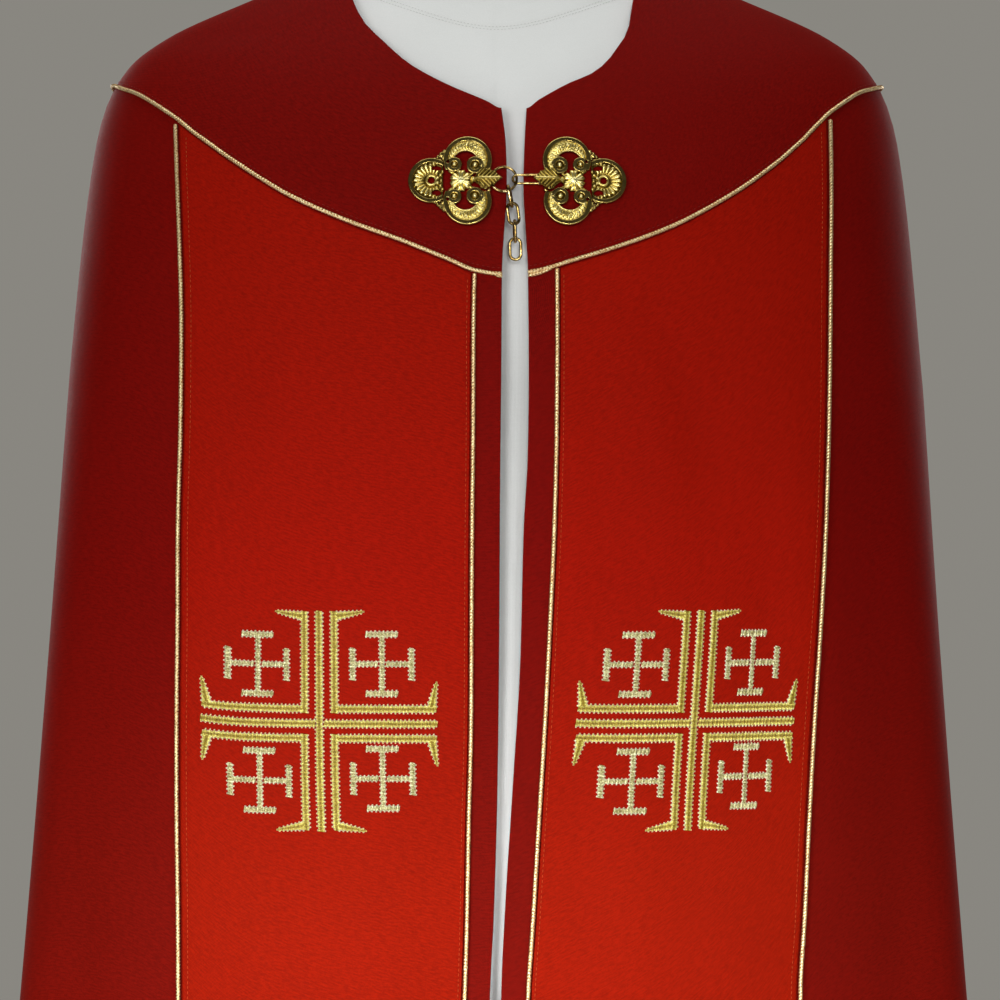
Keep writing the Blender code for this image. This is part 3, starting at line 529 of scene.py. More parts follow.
def resample(points, step, extra=None):
    """Points at an even step along a line, with values that go with them."""
    distance = lengths_along(points[:, None], 0)[:, 0]
    count = max(2, int(round(distance[-1] / step)) + 1)
    at = np.linspace(0, distance[-1], count)
    out = np.stack([np.interp(at, distance, points[:, k]) for k in range(3)], -1)
    if extra is None:
        return out
    more = np.stack([np.interp(at, distance, extra[:, k]) for k in range(3)], -1)
    return out, unit(more)


# -------------------------------------------------------------- materials
class Nodes:
    """Short hand for building a material's node tree."""

    def __init__(self, name):
        self.mat = bpy.data.materials.new(name)
        self.mat.use_nodes = True
        self.tree = self.mat.node_tree
        self.shader = self.tree.nodes["Principled BSDF"]

    def add(self, kind, **values):
        node = self.tree.nodes.new(kind)
        for key, value in values.items():
            if key.startswith("in_"):
                socket = node.inputs[int(key[3:])] if key[3:].isdigit() \
                    else node.inputs[key[3:].replace("_", " ").title()]
                socket.default_value = value
            else:
                setattr(node, key, value)
        return node

    def link(self, a, b):
        self.tree.links.new(a, b)

    def set(self, **values):
        for key, value in values.items():
            self.shader.inputs[key.replace("_", " ")].default_value = value

    def noise(self, vector, scale, detail=2.0, rough=0.5):
        node = self.add("ShaderNodeTexNoise")
        node.inputs["Scale"].default_value = scale
        node.inputs["Detail"].default_value = detail
        node.inputs["Roughness"].default_value = rough
        self.link(vector, node.inputs["Vector"])
        return node.outputs["Fac"]

    def wave(self, vector, pitch, direction="X", distortion=0.0):
        node = self.add("ShaderNodeTexWave", bands_direction=direction)
        node.inputs["Scale"].default_value = 0.31416 / pitch
        node.inputs["Distortion"].default_value = distortion
        node.inputs["Detail"].default_value = 1.0
        self.link(vector, node.inputs["Vector"])
        return node.outputs["Fac"]

    def math(self, operation, a, b=None, clamp=False):
        node = self.add("ShaderNodeMath", operation=operation)
        node.use_clamp = clamp
        for socket, value in zip(node.inputs, (a, b)):
            if value is None:
                continue
            if isinstance(value, (int, float)):
                socket.default_value = value
            else:
                self.link(value, socket)
        return node.outputs[0]

    def ramp(self, fac, stops):
        node = self.add("ShaderNodeValToRGB")
        ramp = node.color_ramp
        while len(ramp.elements) < len(stops):
            ramp.elements.new(0.5)
        for element, (at, colour) in zip(ramp.elements, stops):
            element.position = at
            element.color = (*colour, 1.0)
        self.link(fac, node.inputs[0])
        return node.outputs[0]

    def spread(self, fac, low, high):
        node = self.add("ShaderNodeMapRange")
        node.inputs["To Min"].default_value = low
        node.inputs["To Max"].default_value = high
        self.link(fac, node.inputs["Value"])
        return node.outputs["Result"]

    def bump(self, height, strength, distance, normal=None):
        node = self.add("ShaderNodeBump")
        node.inputs["Strength"].default_value = strength
        node.inputs["Distance"].default_value = distance
        self.link(height, node.inputs["Height"])
        if normal is not None:
            self.link(normal, node.inputs["Normal"])
        return node.outputs["Normal"]


def scaled(colour, factor):
    return tuple(min(1.0, c * factor) for c in colour)


def gabardine(name, colour, sheen):
    """Fine twill: diagonal ribs, single threads and faint slubs."""
    n = Nodes(name)
    uv = n.add("ShaderNodeUVMap", uv_map="weave").outputs["UV"]
    place = n.add("ShaderNodeTexCoord").outputs["Object"]
    slant = n.add("ShaderNodeMapping")
    slant.inputs["Rotation"].default_value = (0, 0, math.radians(58))
    n.link(uv, slant.inputs["Vector"])
    rib = n.wave(slant.outputs["Vector"], 0.00085, distortion=0.4)
    thread = n.wave(uv, 0.00062, "Y", 0.6)
    grain = n.noise(place, 1500.0, 2.0, 0.6)
    patch = n.noise(place, 9.0, 3.0, 0.55)
    slub = n.noise(place, 240.0, 3.0, 0.6)
    mottle = n.noise(place, 620.0, 2.0, 0.6)
    # Weft threads a little thicker or thinner than their neighbours.
    weft = n.add("ShaderNodeMapping", vector_type="TEXTURE")
    weft.inputs["Rotation"].default_value = (0, 0, math.radians(10))
    weft.inputs["Scale"].default_value = (0.0062, 0.0012, 1.0)
    n.link(uv, weft.inputs["Vector"])
    pick = n.noise(weft.outputs["Vector"], 1.0, 2.0, 0.5)
    tone = n.math("ADD", n.math("MULTIPLY", rib, 0.34),
                  n.math("MULTIPLY", grain, 0.30))
    tone = n.math("ADD", tone, n.math("MULTIPLY", patch, 0.20))
    tone = n.math("ADD", tone, n.math("MULTIPLY", slub, 0.20))
    tone = n.math("ADD", tone, n.math("MULTIPLY", n.math(
        "SUBTRACT", mottle, 0.5), 0.50))
    tone = n.math("ADD", tone, n.math("MULTIPLY", n.math(
        "SUBTRACT", pick, 0.5), 1.00))
    dyed = n.ramp(tone, ((0.28, scaled(colour, 0.76)),
                         (0.53, colour),
                         (0.80, scaled(colour, 1.24))))
    # Painted sheen by height: a touch more orange towards the foot, standing in
    # for the sheen the lower cloth catches.
    split = n.add("ShaderNodeSeparateXYZ")
    n.link(place, split.inputs[0])
    low = n.ramp(n.math("MULTIPLY", split.outputs[2], 0.5),
                 ((0.42, (1.0, 1.55, 1.25)), (0.53, (1.0, 1.0, 1.0))))
    mix = n.add("ShaderNodeMix", data_type="RGBA", blend_type="MULTIPLY")
    mix.inputs[0].default_value = 1.0
    n.link(dyed, mix.inputs[6])
    n.link(low, mix.inputs[7])
    n.link(mix.outputs[2], n.shader.inputs["Base Color"])
    relief = n.math("ADD", n.math("MULTIPLY", rib, 0.6),
                    n.math("MULTIPLY", thread, 0.25))
    relief = n.math("ADD", relief, n.math("MULTIPLY", grain, 0.35))
    soft = n.bump(patch, 0.10, 0.004)
    n.link(n.bump(relief, 0.32, 0.00022, soft), n.shader.inputs["Normal"])
    n.link(n.spread(slub, 0.56, 0.72), n.shader.inputs["Roughness"])
    n.set(Sheen_Weight=sheen, Sheen_Roughness=0.5,
          Sheen_Tint=(1.0, 0.10, 0.04, 1.0), Specular_IOR_Level=0.025)
    return n.mat


def thread_material(name, colour):
    n = Nodes(name)
    uv = n.add("ShaderNodeUVMap", uv_map="weave").outputs["UV"]
    slant = n.add("ShaderNodeMapping")
    slant.inputs["Rotation"].default_value = (0, 0, math.radians(40))
    n.link(uv, slant.inputs["Vector"])
    twist = n.wave(slant.outputs["Vector"], 0.0006)
    n.link(n.ramp(twist, ((0.1, scaled(colour, 0.6)), (0.7, colour))),
           n.shader.inputs["Base Color"])
    n.link(n.bump(twist, 0.3, 0.0001), n.shader.inputs["Normal"])
    n.set(Roughness=0.65, Specular_IOR_Level=0.12)
    return n.mat


def metal_cord(name, dark, mid, bright):
    """Foil-wrapped strands: deep grooves, fine turns and bright glints."""
    n = Nodes(name)
    uv = n.add("ShaderNodeUVMap", uv_map="weave").outputs["UV"]
    place = n.add("ShaderNodeTexCoord").outputs["Object"]
    # Painted highlight on the strands' crowns and painted shade in the grooves;
    # the glint noise also paints bright glints into the colour.
    split = n.add("ShaderNodeSeparateXYZ")
    n.link(uv, split.inputs[0])
    turn = n.math("SUBTRACT", n.math("MULTIPLY", split.outputs[1], 3.0),
                  n.math("MULTIPLY", split.outputs[0], 3.0 / CORD_LAY))
    crown = n.math("ABSOLUTE", n.math("SINE", n.math("MULTIPLY", turn,
                                                     math.pi)))
    glint = n.noise(place, 900.0, 2.0, 0.65)
    broad = n.noise(place, 160.0, 2.0, 0.5)
    tone = n.math("ADD", n.math("MULTIPLY", crown, 0.42),
                  n.math("MULTIPLY", glint, 1.15))
    tone = n.math("ADD", tone, n.math("MULTIPLY", broad, 0.20))
    tone = n.math("SUBTRACT", tone, 0.42)
    n.link(n.ramp(tone, ((0.26, dark), (0.48, mid), (0.66, bright))),
           n.shader.inputs["Base Color"])
    n.link(n.bump(n.math("ADD", glint, n.math("MULTIPLY", crown, 0.4)), 0.6,
                  0.0003), n.shader.inputs["Normal"])
    n.link(n.spread(glint, 0.22, 0.44), n.shader.inputs["Roughness"])
    n.set(Metallic=0.60)
    return n.mat


def satin_thread(name, edge, crown, middle, fleck, dull, metallic):
    """Stitches: pale tips, bright shoulders and a dark line between them, painted
    in as highlight and shade.
    """
    n = Nodes(name)
    uv = n.add("ShaderNodeUVMap", uv_map="weave").outputs["UV"]
    place = n.add("ShaderNodeTexCoord").outputs["Object"]
    split = n.add("ShaderNodeSeparateXYZ")
    n.link(uv, split.inputs[0])
    from_middle = n.math("ABSOLUTE", n.math("SUBTRACT", split.outputs[0], 0.5))
    ragged = n.noise(place, 900.0, 2.0, 0.6)
    shifted = n.math("ADD", from_middle,
                     n.math("MULTIPLY", n.math("SUBTRACT", ragged, 0.5), 0.20))
    double = n.math("MULTIPLY", shifted, 2.0)
    # Painted highlight on each stitch's shoulders and painted shade along its
    # middle.
    across = n.ramp(double, ((0.22, middle), (0.40, crown)))
    spots = n.ramp(n.noise(place, 850.0, 2.0, 0.7),
                   ((0.40, fleck), (0.56, (1.0, 1.0, 1.0))))
    mix = n.add("ShaderNodeMix", data_type="RGBA", blend_type="MULTIPLY")
    mix.inputs[0].default_value = 0.9
    n.link(across, mix.inputs[6])
    n.link(spots, mix.inputs[7])
    # Painted shade: some stitches are painted duller, as if they lay flatter and
    # shone less.
    each = n.ramp(split.outputs[1], ((0.10, dull), (0.70, (1.0, 1.0, 1.0))))
    second = n.add("ShaderNodeMix", data_type="RGBA", blend_type="MULTIPLY")
    second.inputs[0].default_value = 0.9
    n.link(mix.outputs[2], second.inputs[6])
    n.link(each, second.inputs[7])
    # Painted highlight: the ends of the stitches are painted pale, as if they
    # caught the light.
    ends = n.ramp(double, ((0.66, (0.0, 0.0, 0.0)), (0.78, (1.0, 1.0, 1.0))))
    last = n.add("ShaderNodeMix", data_type="RGBA", blend_type="MIX")
    n.link(ends, last.inputs[0])
    n.link(second.outputs[2], last.inputs[6])
    last.inputs[7].default_value = (*edge, 1.0)
    n.link(last.outputs[2], n.shader.inputs["Base Color"])
    n.link(n.bump(ragged, 0.5, 0.0002), n.shader.inputs["Normal"])
    n.link(n.spread(ragged, 0.26, 0.46), n.shader.inputs["Roughness"])
    n.set(Metallic=metallic)
    return n.mat


def gilt(name):
    """Gilt casting: bright crowns and dark recesses painted in by height as
    highlight and shade, and smooth olive rims painted dark as a reflection.
    """
    n = Nodes(name)
    uv = n.add("ShaderNodeUVMap", uv_map="weave").outputs["UV"]
    place = n.add("ShaderNodeTexCoord").outputs["Object"]
    split = n.add("ShaderNodeSeparateXYZ")
    n.link(uv, split.inputs[0])
    polish, height = split.outputs[0], split.outputs[1]
    cloud = n.noise(place, 420.0, 3.0, 0.6)
    fine = n.noise(place, 2400.0, 2.0, 0.5)
    chased = n.noise(place, 760.0, 2.0, 0.6)
    level = n.math("ADD", height, n.math("MULTIPLY", n.math(
        "SUBTRACT", cloud, 0.5), 0.22))
    level = n.math("ADD", level, n.math("MULTIPLY", n.math(
        "SUBTRACT", chased, 0.5), 0.40))
    # Painted shade and highlight: the colour runs from dark in the low recesses to
    # bright on the high crowns, with some random tone.
    cast = n.ramp(level, ((0.24, (0.120, 0.078, 0.014)),
                          (0.40, (0.480, 0.345, 0.070)),
                          (0.58, (0.850, 0.690, 0.215)),
                          (0.80, (1.000, 0.900, 0.430))))
    # Painted reflection: the polished rims are painted a darker olive, as if
    # mirroring the dark room.
    rim = n.ramp(cloud, ((0.30, (0.300, 0.215, 0.060)),
                         (0.70, (0.440, 0.325, 0.100))))
    mix = n.add("ShaderNodeMix", data_type="RGBA", blend_type="MIX")
    n.link(polish, mix.inputs[0])
    n.link(cast, mix.inputs[6])
    n.link(rim, mix.inputs[7])
    n.link(mix.outputs[2], n.shader.inputs["Base Color"])
    rough = n.math("SUBTRACT", n.spread(cloud, 0.24, 0.36),
                   n.math("MULTIPLY", polish, 0.13))
    n.link(rough, n.shader.inputs["Roughness"])
    n.link(n.bump(fine, 0.10, 0.0001), n.shader.inputs["Normal"])
    n.set(Metallic=1.0)
    return n.mat


def gilt_wire(name):
    """Drawn brass wire, gilt and polished; its colour runs in random patches from
    dark brown to bright gold, the dark being painted dark reflection.
    """
    n = Nodes(name)
    place = n.add("ShaderNodeTexCoord").outputs["Object"]
    cloud = n.noise(place, 330.0, 3.0, 0.6)
    fine = n.noise(place, 2600.0, 2.0, 0.5)
    n.link(n.ramp(cloud, ((0.38, (0.120, 0.075, 0.022)),
                          (0.54, (0.340, 0.225, 0.070)),
                          (0.68, (0.880, 0.700, 0.360)))),
           n.shader.inputs["Base Color"])
    n.link(n.spread(cloud, 0.08, 0.18), n.shader.inputs["Roughness"])
    n.link(n.bump(fine, 0.06, 0.0001), n.shader.inputs["Normal"])
    n.set(Metallic=1.0)
    return n.mat


def jersey(name):
    """White single jersey: columns of small loops."""
    n = Nodes(name)
    uv = n.add("ShaderNodeUVMap", uv_map="weave").outputs["UV"]
    place = n.add("ShaderNodeTexCoord").outputs["Object"]
    wale = n.wave(uv, 0.0011, "X", 0.5)
    course = n.wave(uv, 0.0009, "Y", 0.7)
    fuzz = n.noise(place, 1100.0, 2.0, 0.6)
    patch = n.noise(place, 14.0, 2.0, 0.5)
    knit = n.math("ADD", n.math("MULTIPLY", wale, 0.6),
                  n.math("MULTIPLY", course, 0.4))
    tone = n.math("ADD", n.math("MULTIPLY", knit, 0.3),
                  n.math("MULTIPLY", fuzz, 0.4))
    tone = n.math("ADD", tone, n.math("MULTIPLY", patch, 0.3))
    knitted = n.ramp(tone, ((0.25, (0.800, 0.820, 0.800)),
                            (0.55, (0.880, 0.900, 0.882)),
                            (0.80, (0.940, 0.955, 0.940))))
    # Painted shade by height: greyer below the chest than at the neck, standing in
    # for shading the lights do not give.
    split = n.add("ShaderNodeSeparateXYZ")
    n.link(place, split.inputs[0])
    painted_shade_by_height = n.ramp(n.math("MULTIPLY", split.outputs[2], 0.5),
                  ((0.43, (0.96, 0.96, 0.96)), (0.50, (0.75, 0.75, 0.75)),
                   (0.60, (0.73, 0.73, 0.73)), (0.655, (1.0, 1.0, 1.0)),
                   (0.70, (0.93, 0.93, 0.93))))
    mix = n.add("ShaderNodeMix", data_type="RGBA", blend_type="MULTIPLY")
    mix.inputs[0].default_value = 1.0
    n.link(knitted, mix.inputs[6])
    n.link(painted_shade_by_height, mix.inputs[7])
    n.link(mix.outputs[2], n.shader.inputs["Base Color"])
    n.link(n.bump(n.math("ADD", knit, fuzz), 0.30, 0.00025),
           n.shader.inputs["Normal"])
    n.set(Roughness=0.85, Sheen_Weight=0.25, Sheen_Roughness=0.5,
          Specular_IOR_Level=0.2)
    return n.mat


def steel(name):
    n = Nodes(name)
    place = n.add("ShaderNodeTexCoord").outputs["Object"]
    stretch = n.add("ShaderNodeMapping")
    stretch.inputs["Scale"].default_value = (900.0, 900.0, 14.0)
    n.link(place, stretch.inputs["Vector"])
    brush = n.noise(stretch.outputs["Vector"], 1.0, 3.0, 0.6)
    cloud = n.noise(place, 22.0, 3.0, 0.5)
    n.link(n.ramp(brush, ((0.25, (0.400, 0.400, 0.410)),
                          (0.75, (0.600, 0.600, 0.605)))),
           n.shader.inputs["Base Color"])
    n.link(n.spread(cloud, 0.24, 0.40), n.shader.inputs["Roughness"])
    n.link(n.bump(brush, 0.08, 0.0002), n.shader.inputs["Normal"])
    n.set(Metallic=1.0)
    return n.mat


CRIMSON_COLOUR = (0.172, 0.0028, 0.0016)
SCARLET_COLOUR = (0.302, 0.0058, 0.0012)
CRIMSON = gabardine("crimson_gabardine_cloth", CRIMSON_COLOUR, 0.05)
SCARLET = gabardine("scarlet_gabardine_cloth", SCARLET_COLOUR, 0.05)
RED_THREAD = thread_material("scarlet_thread", (0.62, 0.085, 0.020))
DARK_THREAD = thread_material("crimson_thread", (0.30, 0.020, 0.015))
WHITE_THREAD = thread_material("white_thread", (0.72, 0.73, 0.71))
CORD_LAY = 0.0072            # one whole turn of a strand
# The cord's dark and bright colours carry its painted groove shade and crown
# highlights.
CORD_GOLD = metal_cord("gold_cord_thread", (0.140, 0.045, 0.006),
                       (0.880, 0.470, 0.165), (1.0, 0.900, 0.520))
# Thread colours: the edge and crown ones are painted highlight, the middle and
# dull ones painted shade.
YELLOW_GOLD = satin_thread("yellow_gold_thread", (1.0, 0.930, 0.620),
                           (1.000, 0.950, 0.270), (0.430, 0.310, 0.020),
                           (0.56, 0.48, 0.26), (0.76, 0.70, 0.52), 0.25)
PALE_GOLD = satin_thread("champagne_thread", (1.0, 0.970, 0.720),
                         (1.000, 1.000, 0.640), (0.820, 0.800, 0.420),
                         (0.36, 0.30, 0.13), (0.56, 0.50, 0.32), 0.25)
GILT = gilt("gilt_brass_cast")
GILT_WIRE = gilt_wire("gilt_brass_wire")
JERSEY = jersey("white_jersey_knit")
STEEL = steel("satin_steel_brushed")

# ------------------------------------------------------------- the cloth
EDGE_STEPS = (0.010, 0.025, 0.05, 0.09, 0.2)
PLACES = zones((8, 14, 260, 14, 8), EDGE_STEPS)


def row_shares(count, start=(), end=(), power=1.0):
    plain = np.linspace(0, 1, count) ** power
    return np.array(sorted(set(np.round(plain, 6)) | set(start)
                           | {1 - e for e in end}))


def body_surface(places, shares, drop=0.0):
    """Angles and heights on the body for places round it and rows down."""
    top = seam_height(places) - GAP / 2 - drop
    heights = top[None] + (HEM_HEIGHT - top[None]) * shares[:, None]
    place = np.broadcast_to(places[None], heights.shape)
    return column_angle(place, heights), heights


body_rows = row_shares(96, (0.0006, 0.0013, 0.003), (0.0005, 0.0011, 0.003))
angles, heights = body_surface(PLACES, body_rows)
body_points = cloth_point(angles, heights)
body = shell("cope_body_cloth", body_points, cloth_normal(angles, heights),
             CLOTH, CRIMSON)
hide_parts("cope_body")

# ------------------------------------------------------------------- yoke
TOP = 1.405


def yoke_surface(places, shares):
    seam = seam_height(places)
    seam_angle = column_angle(places, seam)
    first, last = seam_angle[0], seam_angle[-1]
    share = (seam_angle - first) / (last - first)
    part = shares[:, None]
    front = TOP + (seam[0] - TOP) * part
    start = angle_at(EDGE["left_edge"](front), front)
    end = angle_at(EDGE["right_edge"](front), front) - 360
    top_start = angle_at(EDGE["left_edge"](TOP), TOP)
    top_end = angle_at(EDGE["right_edge"](TOP), TOP) - 360
    here = start + (end - start) * share[None]
    top = NECK_LINE(wrapped(top_start + (top_end - top_start) * share))
    low = seam + GAP / 2
    height = top[None] + (low - top)[None] * part
    return here, height


yoke_rows = row_shares(26, (0.004, 0.009, 0.02), (0.004, 0.009, 0.02))
angles, heights = yoke_surface(PLACES, yoke_rows)
yoke_points = cloth_point(angles, heights)
yoke_normals = cloth_normal(angles, heights)
yoke = shell("yoke_cloth", yoke_points, yoke_normals, CLOTH, CRIMSON)
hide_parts("yoke")


# --------------------------------------------------------------- orphreys
def orphrey(name, node, first):
    places = np.array(sorted({first + s for s in
                              (0.0, 0.004, 0.009, 0.02, 0.98, 0.991, 0.996,
                               1.0)} | set(first + np.linspace(0, 1, 34))))
    shares = row_shares(110, (0.0006, 0.0013, 0.003), (0.0005, 0.0011, 0.003))
    a, h = body_surface(places, shares, UNDER_CORD + 0.0002)
    normals = cloth_normal(a, h)
    points = cloth_point(a, h) + normals * (BAND_CLOTH + GAP + 0.0001)
    piece = shell(name, points, normals, BAND_CLOTH, SCARLET)
    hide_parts(node)
    return piece


orphrey_left = orphrey("orphrey_left_cloth", "orphrey_left", 1)
orphrey_right = orphrey("orphrey_right_cloth", "orphrey_right", 3)

# ------------------------------------------------------------------ cords
CORD_STEP = 0.00078


def three_strands(turns, distance):
    """Outline of three strands laid together, turning along the cord."""
    off = (turns - 2 * np.pi * distance / CORD_LAY) % (2 * np.pi / 3)
    off = np.abs(off - np.pi / 3)
    near = np.pi / 3 - off
    a, b = 0.470, 0.550
    r = b * np.cos(near) + np.sqrt(np.clip(a * a - (b * np.sin(near)) ** 2,
                                           0, None))
    return np.clip(r, 0.56, 1.0)


def cord_mesh(line, normals, radius):
    line, normals = resample(line, CORD_STEP, normals)
    return sweep(line, radius, 9, normals, lobes=three_strands)


def cord_piece(name, line, normals, node, radius=CORD_RADIUS, extra=()):
    parts = [cord_mesh(line, normals, radius), *extra]
    mesh = build_mesh(name, *joined(parts))
    piece = add_object(name, mesh, CORD_GOLD)
    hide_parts(node)
    return piece


CORD_OUT = CORD_RADIUS + GAP + 0.0001


def seam_line(places, out):
    seam = seam_height(places)
    angle = column_angle(places, seam)
    normal = cloth_normal(angle, seam)
    return cloth_point(angle, seam) + normal * out, normal


yoke_line, yoke_line_normals = seam_line(zones((10, 30, 420, 30, 10)), CORD_OUT)


def folded_end(points, normals, length, sink):
    """The cord's raw end, turned back under itself at a front edge."""
    line, out = resample(points, CORD_STEP, normals)
    count = int(length / CORD_STEP)
    line, out = line[:count], out[:count]
    tangent = unit(np.gradient(line, axis=0))
    down = np.cross(tangent, out)
    down *= np.sign(-down[:, 2:3])
    share = np.linspace(0, 1, count)[:, None]
    drop = sink * np.sin(np.pi * np.clip(share * 0.5 + 0.5, 0, 1)) ** 0.6
    return cord_mesh(line + down * drop - out * 0.0004, out,
                     CORD_RADIUS * 0.84)


ends = [folded_end(yoke_line[::-1], yoke_line_normals[::-1], 0.019, 0.0024),
        folded_end(yoke_line, yoke_line_normals, 0.006, 0.0016)]
cord_piece("cord_yoke_twist", yoke_line, yoke_line_normals, "cord_yoke",
           extra=ends)


def side_cord(name, node, column, toward):
    """Long cord beside an orphrey; toward is the way off its edge, and is not
    used.
    """
    heights = np.linspace(1.0, 0.0, 260)
    mark = {"left_inner": 1, "left_outer": 2, "right_outer": 3,
            "right_inner": 4}[column]
    seam = float(seam_height(np.array([float(mark)]))[0])
    near = seam_height(np.array([mark - 0.02, mark + 0.02]))
    x_near = cloth_point(column_angle(np.array([mark - 0.02, mark + 0.02]),
                                      near), near)
    step = x_near[1] - x_near[0]
    slope = abs(step[2]) / np.linalg.norm(step[:2])
    top = seam - UNDER_CORD * math.hypot(1, slope) - CORD_RADIUS * slope - 0.0002
    height = HEM_HEIGHT + (top - HEM_HEIGHT) * heights
    angle = angle_at(CORD_LINE[column](height), height)
    normal = cloth_normal(angle, height)
    line = cloth_point(angle, height) + normal * CORD_OUT
    return cord_piece(name, line, normal, node)


side_cord("cord_left_inner_twist", "cord_left_inner", "left_inner", -1)
side_cord("cord_left_outer_twist", "cord_left_outer", "left_outer", 1)
side_cord("cord_right_outer_twist", "cord_right_outer", "right_outer", -1)
side_cord("cord_right_inner_twist", "cord_right_inner", "right_inner", 1)


# --------------------------------------------------------------- stitches
def stitch_row(points, normals, length, gap, width, height, sink=0.0001):
    """Small raised stitches in a row, each dipping into the cloth."""
    distance = lengths_along(points[:, None], 0)[:, 0]
    starts = np.arange(gap, distance[-1] - length, length + gap)
    starts = starts + NOISE.uniform(-0.06, 0.06, len(starts)) * length
    size = length * NOISE.uniform(0.90, 1.06, len(starts))

    def at(d):
        p = np.stack([np.interp(d, distance, points[:, k])
                      for k in range(3)], -1)
        n = unit(np.stack([np.interp(d, distance, normals[:, k])
                           for k in range(3)], -1))
        return p, n

    rings = []
    along = unit(at(starts + size)[0] - at(starts)[0])
    for share, lift, wide in ((0.0, -sink, 0.0), (0.2, height * 0.55, 0.8),
                              (0.5, height * 0.72, 1.0),
                              (0.8, height * 0.55, 0.8), (1.0, -sink, 0.0)):
        p, n = at(starts + size * share)
        side = np.cross(along, n)
        centre = p + n * lift
        if wide == 0.0:
            rings.append(centre[:, None])
        else:
            rings.append(np.stack((
                centre + n * height * 0.45 * wide,
                centre + side * width / 2 * wide,
                centre - n * height * 0.45 * wide,
                centre - side * width / 2 * wide), 1))
    verts = np.concatenate(rings, 1)           # 1 + 4 + 4 + 4 + 1 = 14
    count = len(starts)
    k = np.arange(4)
    m = (k + 1) % 4
    tris = np.concatenate((np.stack((np.zeros(4, int), 1 + k, 1 + m), -1),
                           np.stack((np.full(4, 13), 9 + m, 9 + k), -1)))
    quads = np.concatenate([np.stack((a + k, b + k, b + m, a + m), -1)
                            for a, b in ((1, 5), (5, 9))])
    base = (np.arange(count) * 14)[:, None, None]
    tris = (tris[None] + base).reshape(-1, 3)
    quads = (quads[None] + base).reshape(-1, 4)
    uv = np.zeros((count, 14, 2))
    uv[..., 0] = starts[:, None] + np.array([0, .2, .2, .2, .2, .5, .5, .5, .5,
                                             .8, .8, .8, .8, 1.0]) * length
    uv[..., 1] = np.array([0, 0, .3, .6, .9, 0, .3, .6, .9, 0, .3, .6, .9,
                           0]) * 0.001
    return verts.reshape(-1, 3), [tris, quads], uv.reshape(-1, 2)


BAND_OUT = BAND_CLOTH + GAP + 0.0001


def orphrey_stitches():
    """Seams that hold the orphreys, just inside their edges."""
    rows = []
    for first in (1, 3):
        for near in (0.016, 0.984):
            shares = np.linspace(0.004, 0.997, 240)
            a, h = body_surface(np.array([first + near, first + near]), shares,
                                UNDER_CORD)
            a, h = a[:, 0], h[:, 0]
            n = cloth_normal(a, h)
            rows.append(stitch_row(cloth_point(a, h) + n * BAND_OUT, n,
                                   0.0026, 0.0011, 0.00055, 0.00042))
    return joined(rows)


piece = add_object("orphrey_stitches", build_mesh("orphrey_stitches",
                                                  *orphrey_stitches()),
                   RED_THREAD)


def yoke_stitches():
    """Seam above the yoke's cord."""
    places = zones((10, 30, 420, 30, 10))
    seam = seam_height(places) + 0.0046
    angle = column_angle(places, seam)
    n = cloth_normal(angle, seam)
    lower = stitch_row(cloth_point(angle, seam), n, 0.0026, 0.0012, 0.0005,
                       0.00038)
    return lower


piece = add_object("yoke_stitches", build_mesh("yoke_stitches",
                                               *yoke_stitches()),
                   DARK_THREAD)


# ------------------------------------------------------------- embroidery
# Sizes of the design, in metres: the great cross has three bars each way,
# the outer ones turning at right angles, with a spur at the end of each arm.
ARM_UP, ARM_DOWN, ARM_SIDE = 0.0806, 0.0768, 0.0850
BAR_WIDE, OUTER_WIDE = 0.0054, 0.0052
OUTER_ACROSS, OUTER_UP = 0.0112, 0.0106
SPUR_UP, SPUR_UP_WIDE = 0.0222, 0.0066       # lying across, at top and foot
SPUR_SIDE, SPUR_SIDE_WIDE = 0.0200, 0.0072   # standing, at the side ends
SMALL_CROSSES = ((-0.0462, 0.0423), (0.0458, 0.0430), (-0.0446, -0.0415),
                 (0.0458, -0.0392))
SMALL_HALF, SMALL_WIDE, SMALL_END = 0.0213, 0.0040, 0.0222
STITCH_PITCH = 0.00100
POKE = 0.00112                               # every third stitch is longer


def bar_stitches(p0, p1, width, skip=None):
    """Stitches across a straight bar from p0 to p1."""
    p0, p1 = np.array(p0, float), np.array(p1, float)
    length = np.linalg.norm(p1 - p0)
    along = (p1 - p0) / length
    across = np.array((-along[1], along[0]))
    out = []
    count = int(round(length / STITCH_PITCH))
    for k in range(count + 1):
        s = k * length / count
        if skip and skip[0] < s < skip[1]:
            continue
        near_end = min(s, length - s)
        w = width * (0.90 + 0.10 * min(1.0, near_end / 0.0012))
        poke = (0.0 if k % 3 else POKE) * min(1.0, width / 0.0048)
        w1 = w / 2 + poke + random.uniform(-0.00014, 0.00014)
        w2 = w / 2 + poke + random.uniform(-0.00014, 0.00014)
        lean = along * 0.00035
        centre = p0 + along * s
        out.append((centre - across * w1 - lean, centre + across * w2 + lean,
                    1.45 if poke else 1.0))
    return out


def spur_stitches(base, along, across, length, width):
    """A tapering spur: its outer edge is straight and the inner one runs in.

    base is the outer corner, along points to the tip and across points from
    the outer edge inwards.
    """
    base, along, across = (np.array(v, float) for v in (base, along, across))
    out = []
    count = int(round(length / STITCH_PITCH))
    for k in range(count + 1):
        s = k / count
        w = width * (1 - s) ** 0.92 + 0.0012 * s
        poke = 0.0 if k % 3 else POKE * 0.8
        a = base + along * s * length - across * (poke + 0.0006 * s)
        out.append((a, a + across * (w + poke * 2), 1.45 if poke else 1.0))
    return out


